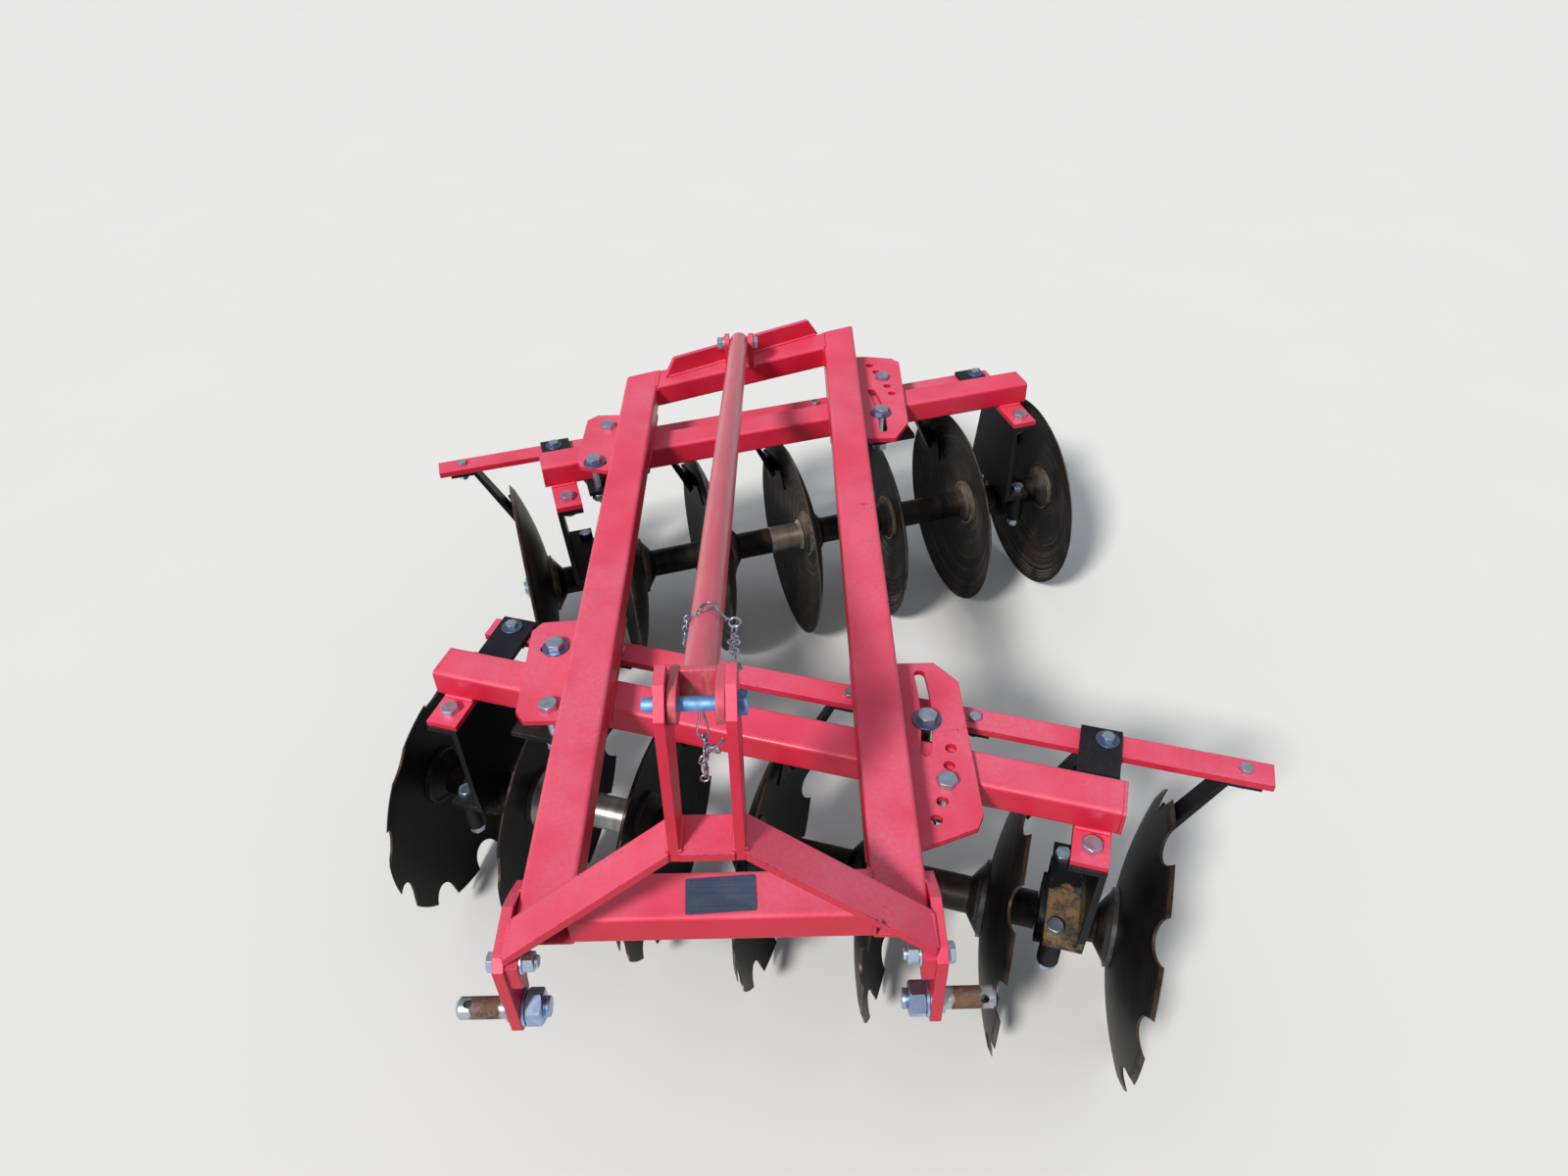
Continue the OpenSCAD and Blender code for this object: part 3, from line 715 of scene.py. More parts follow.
def surface(
    graph: Graph,
    colour: object,
    rough: object,
    metal: object = 0.0,
    height: Socket | None = None,
    normal: Socket | None = None,
    strength: float = 0.1,
    coat: float = 0.0,
    gloss: float = 0.5,
) -> None:
    """Ends a material in its shader.

    Args:
        graph: the material's graph.
        colour: base colour.
        rough: roughness.
        metal: metallic share.
        height: height for the bump, if any.
        normal: normal that the bump starts from, if any.
        strength: strength of the bump.
        coat: weight of the clear coat.
        gloss: specular level of what lies under that coat.
    """
    shader = graph.node("BsdfPrincipled")
    graph.feed(shader.inputs["Base Color"], colour)
    graph.feed(shader.inputs["Roughness"], rough)
    graph.feed(shader.inputs["Metallic"], metal)
    shader.inputs["Specular IOR Level"].default_value = gloss
    shader.inputs["Coat Weight"].default_value = coat
    shader.inputs["Coat Roughness"].default_value = 0.18
    if height is not None:
        bump = graph.node("Bump")
        bump.inputs["Strength"].default_value = strength
        bump.inputs["Distance"].default_value = 0.001
        graph.feed(bump.inputs["Height"], height)
        if normal is not None:
            graph.feed(bump.inputs["Normal"], normal)
        graph.feed(shader.inputs["Normal"], bump.outputs[0])
    result = graph.node("OutputMaterial")
    graph.feed(result.inputs["Surface"], shader.outputs[0])


def new_material(name: str) -> Graph:
    """Returns the empty graph of a new material.

    Args:
        name: the material's name.

    Returns:
        its graph.
    """
    material = bpy.data.materials.new(name)
    material.use_nodes = True
    material.node_tree.nodes.clear()
    return Graph(material.node_tree)


def finished(name: str) -> Material:
    """Returns a material by its name."""
    return bpy.data.materials[name]


TAN = (0.36, 0.235, 0.155)
# scales that draw a noise out along the brace and along the nameplate
STREAK_SCALE = (150.0, 3.0, 60.0)
BRUSH_SCALE = (8.0, 900.0, 900.0)
# a stretch beyond the ends of every gang
NOWHERE = (9.0, 9.1)


@dataclass(frozen=True)
class Enamel:
    """Sprayed enamel with dust, chips, softened edges and a painted top light that makes upward faces
    lighter.

    Args:
        name: the material's name.
        deep: the colour in its darker patches.
        faded: the colour in its paler patches.
        painted_top_light: painted top light, the lighter colour that upward faces take as if lit from above.
        chip: what shows in a chip.
        dust: how much dust lies on it.
        dust_colour: the dust's colour.
        chips: how many chips it has.
        rough: roughness of clean enamel.
        coat: weight of its clear coat.
        gloss: specular level of the paint itself.
        patch: how many patches of dust come to a metre.
        streaks: how strongly pale streaks are drawn out along it.
    """

    name: str
    deep: Colour
    faded: Colour
    painted_top_light: Colour
    chip: Colour = (0.05, 0.02, 0.02)
    dust: float = 0.5
    dust_colour: Colour = TAN
    chips: float = 0.4
    rough: float = 0.36
    coat: float = 0.1
    gloss: float = 0.35
    patch: float = 7.0
    streaks: float = 0.0

    def build(self, effects: Effects) -> Material:
        """Returns the material, made from the shared effects.

        Args:
            effects: the shared effects.

        Returns:
            the material.
        """
        graph = new_material(self.name)
        skin = graph.group(effects.grain)
        edges = graph.group(effects.edges, Radius=0.0022)
        chips = graph.group(effects.chips, Amount=self.chips, Edge=edges.outputs["Mask"])
        dust = graph.group(effects.dust, Amount=self.dust, Patch=self.patch)
        paint = graph.mix(skin.outputs["Shade"], self.deep, self.faded)
        uneven = graph.scaled(skin.outputs["Shade"], 0.25, 0.75)
        # painted top light: upward faces are mixed, unevenly, towards a lighter colour as if lit from above
        paint_with_top_light = graph.mix(graph.times(dust.outputs["Upward"], uneven), paint, self.painted_top_light)
        if self.streaks:
            drawn = graph.span(graph.noise(graph.stretched(STREAK_SCALE), 1.0, 3.0, 0.6), 0.45, 0.70)
            paint_with_top_light = graph.mix(graph.times(drawn, self.streaks), paint_with_top_light, self.dust_colour)
        dusty = graph.mix(dust.outputs["Mask"], paint_with_top_light, self.dust_colour)
        colour = graph.mix(chips.outputs["Mask"], dusty, self.chip)
        rough = graph.scaled(dust.outputs["Mask"], 0.45, self.rough)
        rough = graph.scaled(skin.outputs["Shade"], 0.08, rough)
        height = graph.scaled(chips.outputs["Mask"], -1.2, skin.outputs["Height"])
        surface(
            graph, colour, rough, 0.0, height, edges.outputs["Normal"],
            strength=0.10, coat=self.coat, gloss=self.gloss,
        )
        return finished(self.name)


@dataclass(frozen=True)
class Plating:
    """Bright plated or bare steel, a little dull in patches.

    Args:
        name: the material's name.
        bright: its clean colour.
        dull: its colour in dull patches.
        rough: roughness of the clean metal.
        dust: how much dust lies on it.
    """

    name: str
    bright: Colour
    dull: Colour
    rough: float = 0.28
    dust: float = 0.3

    def build(self, effects: Effects) -> Material:
        """Returns the material, made from the shared effects.

        Args:
            effects: the shared effects.

        Returns:
            the material.
        """
        graph = new_material(self.name)
        skin = graph.group(effects.grain, Fine=900.0, Broad=60.0)
        edges = graph.group(effects.edges, Radius=0.0008)
        dust = graph.group(effects.dust, Amount=self.dust, Patch=30.0)
        metal = graph.mix(skin.outputs["Shade"], self.bright, self.dull)
        colour = graph.mix(dust.outputs["Mask"], metal, TAN)
        rough = graph.scaled(skin.outputs["Shade"], 0.16, self.rough)
        rough = graph.scaled(dust.outputs["Mask"], 0.4, rough)
        share = graph.math("SUBTRACT", 0.97, graph.times(dust.outputs["Mask"], 0.9))
        surface(
            graph, colour, rough, share, skin.outputs["Height"], edges.outputs["Normal"], strength=0.06
        )
        return finished(self.name)


@dataclass(frozen=True)
class PinSteel:
    """Plated hitch pins with a band of rust where the tractor's arms have run, and painted shade on the wall
    of the linchpin's hole.

    Args:
        name: the material's name.
        band: start and end of the rust, outwards from the middle of the frame.
        ragged: how far the rust's ends stray.
        drilled: start and end of the stretch that the linchpin's hole takes up.
        bore: the distances from the pin's axis between which the hole's wall takes the painted shade.
        rust: the rust's colours.
        zinc: the plating's colours.
        shade: the painted shade inside the hole.
    """

    name: str
    band: tuple[float, float] = (0.284, 0.322)
    ragged: float = 0.008
    drilled: tuple[float, float] = (0.318, 0.331)
    bore: tuple[float, float] = (0.0134, 0.0126)
    rust: Shades = ((0.085, 0.036, 0.019), (0.165, 0.078, 0.042))
    zinc: Shades = ((0.50, 0.53, 0.57), (0.30, 0.32, 0.35))
    shade: Colour = (0.006, 0.005, 0.005)

    def build(self, effects: Effects) -> Material:
        """Returns the material, made from the shared effects.

        Args:
            effects: the shared effects.

        Returns:
            the material.
        """
        graph = new_material(self.name)
        place = graph.place()
        skin = graph.group(effects.grain, Fine=700.0, Broad=45.0)
        split = graph.node("SeparateXYZ")
        graph.feed(split.inputs[0], place)
        out = graph.math("ABSOLUTE", graph.math("SUBTRACT", split.outputs["X"], HITCH_X))
        off = graph.vector("SUBTRACT", place, tuple(at_hitch(0.0, *PIN_AXIS))).outputs[0]
        across = graph.vector("MULTIPLY", off, (0.0, 1.0, 1.0)).outputs[0]
        radius = graph.vector("LENGTH", across).outputs["Value"]
        # painted shade: the wall of the linchpin's hole is darkened and made less metallic
        hole = graph.between(out, *self.drilled, 0.001)
        hole = graph.times(hole, graph.span(radius, *self.bore))
        stray = graph.noise(place, 120.0, 4.0, 0.65)
        out = graph.math("ADD", out, graph.scaled(stray, 2 * self.ragged, -self.ragged))
        start, end = self.band
        inside = graph.between(out, start - 0.002, end + 0.002, 0.004)
        streak = graph.span(graph.noise(place, 90.0, 4.0, 0.6), 0.25, 0.55, 0.72, 1.0)
        rust = graph.times(inside, streak)
        brown = graph.mix(skin.outputs["Shade"], *self.rust)
        zinc = graph.mix(skin.outputs["Shade"], *self.zinc)
        colour = graph.mix(hole, graph.mix(rust, zinc, brown), self.shade)
        rough = graph.scaled(rust, 0.35, 0.38)
        dull = graph.math("MAXIMUM", rust, hole)
        share = graph.math("SUBTRACT", 0.95, graph.times(dull, 0.85))
        surface(graph, colour, rough, share, skin.outputs["Height"], strength=0.12)
        return finished(self.name)


@dataclass(frozen=True)
class AxleFinish:
    """Black enamel on what turns with a gang's axle, bare where the steel was ground or rubbed.

    Args:
        name: the material's name.
        gang: the gang whose axle it is on.
        bare_from: radius beyond which steel shows.
        back_only: whether only the discs' backs are bare there.
        bare_run: stretch along the beam where all is bare steel.
        dust: how much dust lies on it.
        soil: how much dry soil is rubbed into it.
        tube: the share of that dust and soil that the spools' tubes have.
        steel: the bare steel's colours, ring by ring.
        run_steel: the colours along the bare stretch.
        black: the enamel's colours.
        soil_colour: the soil's colour.
    """

    name: str
    gang: Gang
    bare_from: float
    back_only: bool
    bare_run: tuple[float, float] = NOWHERE
    dust: float = 0.4
    soil: float = 0.4
    tube: float = 1.0
    steel: Shades = ((0.24, 0.20, 0.16), (0.12, 0.10, 0.078))
    run_steel: Shades = ((0.34, 0.34, 0.33), (0.20, 0.195, 0.18))
    black: Shades = ((0.004, 0.004, 0.005), (0.009, 0.009, 0.010))
    soil_colour: Colour = (0.27, 0.25, 0.215)

    def build(self, effects: Effects) -> Material:
        """Returns the material, made from the shared effects.

        Args:
            effects: the shared effects.

        Returns:
            the material.
        """
        graph = new_material(self.name)
        coords = graph.node("TexCoord")
        place = coords.outputs["Object"]
        axis = self.gang.axis()
        centre = self.gang.place(0.0, -self.gang.ahead, AXLE_Z)
        reach = graph.vector("SUBTRACT", place, tuple(centre)).outputs[0]
        along = graph.vector("DOT_PRODUCT", reach, tuple(axis)).outputs["Value"]
        radius = graph.vector("LENGTH", graph.vector("CROSS_PRODUCT", reach, tuple(axis)).outputs[0])
        radius = radius.outputs["Value"]
        facing = graph.vector("DOT_PRODUCT", coords.outputs["Normal"], tuple(axis)).outputs["Value"]
        skin = graph.group(effects.grain, Fine=380.0, Broad=16.0)

        # rings that the soil scours round the axle
        ring_place = graph.node("CombineXYZ")
        graph.feed(ring_place.inputs[0], radius)
        graph.feed(ring_place.inputs[1], graph.times(along, 0.2))
        rings = graph.noise(ring_place.outputs[0], 300.0, 4.0, 0.7)
        wobble = graph.scaled(graph.noise(place, 45.0, 3.0), 0.004, -0.002)
        edge = graph.math("ADD", radius, wobble)
        bare = graph.span(edge, self.bare_from - 0.0012, self.bare_from + 0.0012)
        worn = graph.span(graph.noise(place, 30.0, 4.0, 0.65), 0.36, 0.62, 0.15, 1.0)
        bare = graph.times(bare, worn)
        if self.back_only:
            away = graph.times(facing, -float(self.gang.hollow))
            bare = graph.times(bare, graph.span(away, -0.35, -0.30))
            wall = graph.span(graph.math("ABSOLUTE", facing), 0.42, 0.34)
            outer = graph.span(radius, 0.10, 0.11)
            rim = graph.times(graph.times(wall, outer), worn)
            bare = graph.math("MAXIMUM", bare, rim)
        start, end = self.bare_run
        run = graph.between(along, start, end + 0.001, 0.001)
        bare = graph.math("MAXIMUM", bare, run)

        dust = graph.group(effects.dust, Amount=self.dust, Patch=11.0)
        broad = graph.span(graph.noise(place, 9.0), 0.35, 0.7)
        rubbed = graph.times(graph.span(rings, 0.42, 0.75), broad)
        bell = graph.span(radius, 0.034, 0.044, self.tube, 1.0)
        laid = graph.times(dust.outputs["Mask"], bell)
        rubbed = graph.times(rubbed, graph.times(bell, self.soil))
        black = graph.mix(skin.outputs["Shade"], *self.black)
        soiled = graph.mix(rubbed, black, self.soil_colour)
        dusty = graph.mix(laid, soiled, TAN)
        steel = graph.mix(graph.span(rings, 0.35, 0.7), *self.steel)
        shiny = graph.mix(graph.span(rings, 0.35, 0.7), *self.run_steel)
        colour = graph.mix(run, graph.mix(bare, dusty, steel), shiny)
        rough = graph.scaled(graph.math("MAXIMUM", laid, rubbed), 0.35, 0.42)
        rough = graph.math("SUBTRACT", rough, graph.times(bare, 0.10))
        share = graph.scaled(run, 0.60, graph.times(bare, 0.25))
        height = graph.scaled(rings, 0.5, skin.outputs["Height"])
        surface(graph, colour, rough, share, height, strength=0.10, gloss=0.15)
        return finished(self.name)


@dataclass(frozen=True)
class MuddyBlack:
    """Black enamel on which ochre mud has dried round one place. The mud stops short of the foot's rear, so
    the bare black there is partly a painted cast shadow.

    Args:
        name: the material's name.
        gang: the gang that it is on.
        middle: the middle of the mud, in the gang's own lengths.
        reach: how far the mud reaches; its edge is also the edge of the painted shadow on the foot.
        black: the enamel's colours.
        worn: the enamel's colour on its edges.
        mud: the mud's grey and ochre.
    """

    name: str
    gang: Gang
    middle: Point
    reach: float
    black: Shades = ((0.004, 0.004, 0.005), (0.010, 0.010, 0.012))
    worn: Colour = (0.045, 0.050, 0.060)
    mud: Shades = ((0.080, 0.072, 0.060), (0.24, 0.150, 0.070))

    def build(self, effects: Effects) -> Material:
        """Returns the material, made from the shared effects.

        Args:
            effects: the shared effects.

        Returns:
            the material.
        """
        graph = new_material(self.name)
        place = graph.place()
        skin = graph.group(effects.grain)
        edges = graph.group(effects.edges, Radius=0.0018)
        away = graph.vector("DISTANCE", place, tuple(self.gang.place(*self.middle))).outputs["Value"]
        ragged = graph.scaled(graph.noise(place, 38.0, 5.0, 0.65), 0.09, -0.045)
        # the mud's edge also stands for a cast shadow's edge: beyond it the black is painted shadow as well
        # as bare paint
        near = graph.span(graph.math("ADD", away, ragged), self.reach + 0.006, self.reach - 0.006)
        cracks = graph.span(graph.noise(place, 150.0, 5.0, 0.7), 0.38, 0.52, 0.45, 1.0)
        mud = graph.times(near, cracks)
        black = graph.mix(skin.outputs["Shade"], *self.black)
        ochre = graph.mix(graph.span(graph.noise(place, 28.0, 3.0), 0.42, 0.58), *self.mud)
        colour = graph.mix(mud, graph.mix(edges.outputs["Mask"], black, self.worn), ochre)
        rough = graph.scaled(mud, 0.40, 0.46)
        height = graph.scaled(mud, 1.5, skin.outputs["Height"])
        surface(graph, colour, rough, 0.0, height, edges.outputs["Normal"], strength=0.2, gloss=0.2)
        return finished(self.name)


@dataclass(frozen=True)
class BrushedPlate:
    """The bare sheet of the blank nameplate, brushed along its length.

    Args:
        name: the material's name.
        metal: the sheet's darker and paler colour.
    """

    name: str = "brushed_plate"
    metal: Shades = ((0.075, 0.105, 0.19), (0.115, 0.15, 0.24))

    def build(self, effects: Effects) -> Material:
        """Returns the material, made from the shared effects.

        Args:
            effects: the shared effects.

        Returns:
            the material.
        """
        graph = new_material(self.name)
        brushed = graph.noise(graph.stretched(BRUSH_SCALE), 1.0, 3.0, 0.6)
        dust = graph.group(effects.dust, Amount=0.12, Patch=40.0)
        metal = graph.mix(graph.span(brushed, 0.3, 0.7), *self.metal)
        colour = graph.mix(dust.outputs["Mask"], metal, TAN)
        rough = graph.scaled(brushed, 0.25, 0.22)
        share = graph.math("SUBTRACT", 0.60, graph.times(dust.outputs["Mask"], 0.6))
        surface(graph, colour, rough, share, brushed, strength=0.05)
        return finished(self.name)


# the third colour of each enamel is its painted top light: a paler pink on the red, a painted sky reflection
# on the brace and a bluish painted sheen on the black
CRIMSON = Enamel(
    "crimson_enamel", (0.54, 0.010, 0.038), (0.64, 0.016, 0.052), (0.86, 0.075, 0.150),
    dust=0.42, dust_colour=(0.66, 0.27, 0.37), chips=0.55, patch=4.5,
)
BRACE = Enamel(
    "brace_enamel", (0.42, 0.035, 0.060), (0.52, 0.055, 0.085), (0.72, 0.105, 0.165),
    dust=0.05, dust_colour=(0.50, 0.28, 0.24), rough=0.28, coat=0.3, streaks=0.35,
)
BLACK = Enamel(
    "black_enamel", (0.003, 0.003, 0.004), (0.007, 0.007, 0.009), (0.009, 0.011, 0.018),
    chip=(0.10, 0.085, 0.07), dust=0.08, chips=0.5, rough=0.46, coat=0.0, gloss=0.2,
)
# the blue in these zinc colours is partly the plating's own tint and partly a painted reflection of a blue
# sky
ZINC = Plating("zinc_plate", (0.60, 0.69, 0.84), (0.38, 0.45, 0.56), rough=0.30, dust=0.08)
DARK_ZINC = Plating("dark_zinc_plate", (0.18, 0.26, 0.40), (0.10, 0.15, 0.24), rough=0.36, dust=0.12)
ZINC_PAINTED_SKY_BLUE = Plating("zinc_plate_painted_sky_blue", (0.42, 0.55, 0.78), (0.28, 0.38, 0.56), rough=0.24, dust=0.05)
BLUED = Plating("blued_bolt", (0.24, 0.45, 0.78), (0.13, 0.26, 0.50), rough=0.60, dust=0.02)
WIRE = Plating("wire_plate", (0.54, 0.60, 0.70), (0.22, 0.26, 0.33), rough=0.30, dust=0.02)
# mud on the front of one bearing foot; the black left behind it is partly painted shadow
MUDDY = MuddyBlack("muddy_black_enamel", FRONT, (0.500, -0.052, 0.292), 0.058)
PINS = PinSteel("pin_steel")
DISC_RIM = 0.2235
BELL_RIM = 0.0475
FRONT_DISCS = AxleFinish(
    "front_disc_black", FRONT, DISC_RIM, True, soil=0.10, dust=0.08,
    steel=((0.080, 0.056, 0.043), (0.036, 0.028, 0.024)),
)
REAR_DISCS = AxleFinish("rear_disc_black", REAR, DISC_RIM, True, soil=0.70, dust=0.35)
FRONT_SPOOLS = AxleFinish(
    "front_spool_black", FRONT, BELL_RIM, False, bare_run=(-0.420, -0.2235), soil=0.10, dust=0.15,
    steel=((0.075, 0.078, 0.085), (0.030, 0.031, 0.034)),
)
REAR_SPOOLS = AxleFinish(
    "rear_spool_black", REAR, BELL_RIM, False, bare_run=(-0.069, 0.004), soil=0.55, dust=0.8,
    tube=0.25, run_steel=((0.50, 0.43, 0.33), (0.34, 0.29, 0.23)),
)
PLATE = BrushedPlate()
FINISHES = (
    CRIMSON, BRACE, BLACK, MUDDY, ZINC, DARK_ZINC, ZINC_PAINTED_SKY_BLUE, BLUED, WIRE, PINS,
    FRONT_DISCS, REAR_DISCS, FRONT_SPOOLS, REAR_SPOOLS, PLATE,
)

NODE_FINISH: dict[str, str] = {
    "brace_tube": BRACE.name,
    "brace_rear_bolt": ZINC.name,
    "front_discs": FRONT_DISCS.name,
    "rear_discs": REAR_DISCS.name,
    "front_spools": FRONT_SPOOLS.name,
    "rear_spools": REAR_SPOOLS.name,
    "front_axle": ZINC.name,
    "rear_axle": ZINC.name,
    "hanger_front_right": MUDDY.name,
}
BLACK_NODES = (
    "hanger_", "bearing_", "scraper_brackets", "front_scrapers", "rear_scrapers", "clamp_plates"
)


def paint_nodes() -> None:
    """Gives every carried-over node its finish."""
    for name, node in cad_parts.items():
        finish = NODE_FINISH.get(name, BLACK.name if name.startswith(BLACK_NODES) else CRIMSON.name)
        for slot in node.material_slots:
            slot.material = finished(finish)
        LOG.info("%s: %s", name, finish)


# bolts


@dataclass(frozen=True)
class Thread:
    """A metric fastener's sizes.

    Args:
        size: diameter of its thread.
        flats: width across its hexagon's flats.
        head: height of its head.
        nut: height of its nut.
        washer: outside diameter of its washer.
        washer_t: thickness of its washer.
        pitch: pitch of its thread.
    """

    size: float
    flats: float
    head: float
    nut: float
    washer: float
    washer_t: float
    pitch: float


# how much larger a washer's hole is than its bolt, in radius
BORE_GAP = 0.0004
M12 = Thread(0.012, 0.018, 0.0075, 0.0104, 0.024, 0.0025, 0.00175)
M16 = Thread(0.016, 0.024, 0.0100, 0.0136, 0.030, 0.0030, 0.0020)
M16_WIDE = Thread(0.016, 0.027, 0.0112, 0.0140, 0.033, 0.0030, 0.0020)
M27 = Thread(0.027, 0.041, 0.0170, 0.0220, 0.047, 0.0040, 0.0030)
M30 = Thread(0.030, 0.046, 0.0187, 0.0195, 0.056, 0.0040, 0.0035)


class Fasteners:
    """Bolts, nuts and washers, each kind modelled once and copied."""

    def __init__(self) -> None:
        """Starts with no patterns."""
        self._patterns: dict[str, Piece] = {}
        self._count = 0

    def hexagon(self, thread: Thread, height: float, both: bool) -> Piece:
        """Returns a hexagon that stands on z = 0, its corners cut by a cone.

        Args:
            thread: the fastener's sizes.
            height: its height.
            both: whether its lower corners are cut too.

        Returns:
            the hexagon.
        """
        clear_selection()
        across = thread.flats / math.sqrt(3)
        bpy.ops.mesh.primitive_cylinder_add(
            vertices=6, radius=across, depth=height, location=(0, 0, height / 2)
        )
        piece = named("hexagon")
        lip = 0.47 * thread.flats
        for low in (False, True) if both else (False,):
            clear_selection()
            wide = lip + height * 1.73
            bpy.ops.mesh.primitive_cone_add(
                vertices=40, radius1=lip if low else wide, radius2=wide if low else lip,
                depth=height, location=(0, 0, height / 2),
            )
            cut_with(piece, named("cone"), "INTERSECT")
        if not both:
            with editing(piece):
                pick_faces(piece, lambda middle, normal: normal.z > 0.99 and middle.z > height * 0.9)
                bpy.ops.mesh.inset(thickness=thread.flats * 0.06)
                bpy.ops.transform.translate(value=(0, 0, -0.0004))
        return piece

    def ring(self, inner: float, outer: float, low: float, high: float) -> Piece:
        """Returns a washer between two heights, its edges broken.

        Args:
            inner: its inner radius.
            outer: its outer radius.
            low: height of its underside.
            high: height of its top.

        Returns:
            the washer.
        """
        ease = min(0.0005, (high - low) / 4)
        profile = [
            (inner, low), (outer - ease, low), (outer, low + ease), (outer, high - ease),
            (outer - ease, high), (inner + ease, high), (inner, high - ease), (inner, low),
        ]
        return turned_piece("ring", profile, 36)

    def stem(self, thread: Thread, top: float, end: float, threaded: float) -> Piece:
        """Returns a shank from z = top down to z = end, threaded below a height.

        Args:
            thread: the fastener's sizes.
            top: where it starts.
            end: where it ends.
            threaded: where its thread starts.

        Returns:
            the shank.
        """
        outer, root = thread.size / 2, thread.size / 2 - 0.61 * thread.pitch
        profile = [(0.0, top), (outer, top)]
        height = max(threaded, end + thread.pitch)
        profile.append((outer, height))
        while height - thread.pitch > end + 0.4 * thread.pitch:
            profile += [(root, height - 0.45 * thread.pitch), (outer, height - 0.9 * thread.pitch)]
            height -= thread.pitch
            profile.append((outer, height))
        profile += [(outer - 0.001, end), (0.0, end)]
        return turned_piece("stem", profile, 24)

    def bolt(self, thread: Thread, grip: float, raised: float = 0.0) -> Piece:
        """Returns the pattern of a whole bolt, its joint's top at z = 0.

        Args:
            thread: the fastener's sizes.
            grip: thickness that it clamps.
            raised: thickness of the washer under its head, if any.

        Returns:
            the pattern.
        """
        key = f"bolt_{thread.size:.3f}_{thread.flats:.3f}_{grip:.4f}_{raised:.4f}"
        if key not in self._patterns:
            head = self.hexagon(thread, thread.head, False)
            head.data.transform(Matrix.Translation((0, 0, raised)))
            under = thread.washer_t
            low_ring = self.ring(thread.size / 2 + BORE_GAP, thread.washer / 2, -grip - under, -grip)
            nut = self.hexagon(thread, thread.nut, True)
            nut_foot = -grip - under - thread.nut
            nut.data.transform(Matrix.Translation((0, 0, nut_foot)))
            stem = self.stem(thread, raised + 0.001, nut_foot - 0.3 * thread.size, nut_foot + 0.001)
            self._patterns[key] = smooth(joined(key, [head, stem, low_ring, nut]))
        return self._patterns[key]

    def washer(self, thread: Thread, wide: float) -> Piece:
        """Returns the pattern of a big washer that lies on z = 0.

        Args:
            thread: the bolt that goes through it.
            wide: its outside diameter.

        Returns:
            the pattern.
        """
        key = f"washer_{thread.size:.3f}_{wide:.3f}"
        if key not in self._patterns:
            ring = self.ring(thread.size / 2 + BORE_GAP, wide / 2, 0.0, thread.washer_t)
            self._patterns[key] = smooth(ring)
        return self._patterns[key]

    def nut_end(self, thread: Thread, tail: float) -> Piece:
        """Returns the pattern of a washer and nut on a rod's end, outwards from z = 0.

        Args:
            thread: the fastener's sizes.
            tail: length of thread beyond the nut.

        Returns:
            the pattern.
        """
        key = f"nut_{thread.size:.3f}_{tail:.4f}"
        if key not in self._patterns:
            ring = self.ring(thread.size / 2 + BORE_GAP, thread.washer / 2, 0.0, thread.washer_t)
            nut = self.hexagon(thread, thread.nut, True)
            nut.data.transform(Matrix.Translation((0, 0, thread.washer_t)))
            parts = [nut, ring]
            if tail > 0:
                foot = thread.washer_t + thread.nut - 0.002
                stem = self.stem(thread, 0.0, -tail - 0.002, -0.0001)
                stem.data.transform(Matrix.Translation((0, 0, foot)) @ Matrix.Rotation(math.pi, 4, "X"))
                parts.append(stem)
            self._patterns[key] = smooth(joined(key, parts))
        return self._patterns[key]

    def fit(
        self, pattern: Piece, name: str, place: Vector, turn: Matrix, body: Body, finish: str
    ) -> None:
        """Puts a copy of a pattern at its place, each turned a little differently.

        Args:
            pattern: the bolt or nut.
            name: the piece's name.
            place: where z = 0 of the pattern goes.
            turn: how the pattern's Z axis is turned.
            body: the body that carries it.
            finish: its material.
        """
        self._count += 1
        own = Matrix.Rotation(math.radians(self._count * 23 % 60), 4, "Z")
        piece = copied(pattern, name, Matrix.Translation(place) @ turn @ own)
        dress(piece, body, finish)

    def clear(self) -> None:
        """Deletes the patterns."""
        removed(list(self._patterns.values()))
        self._patterns.clear()


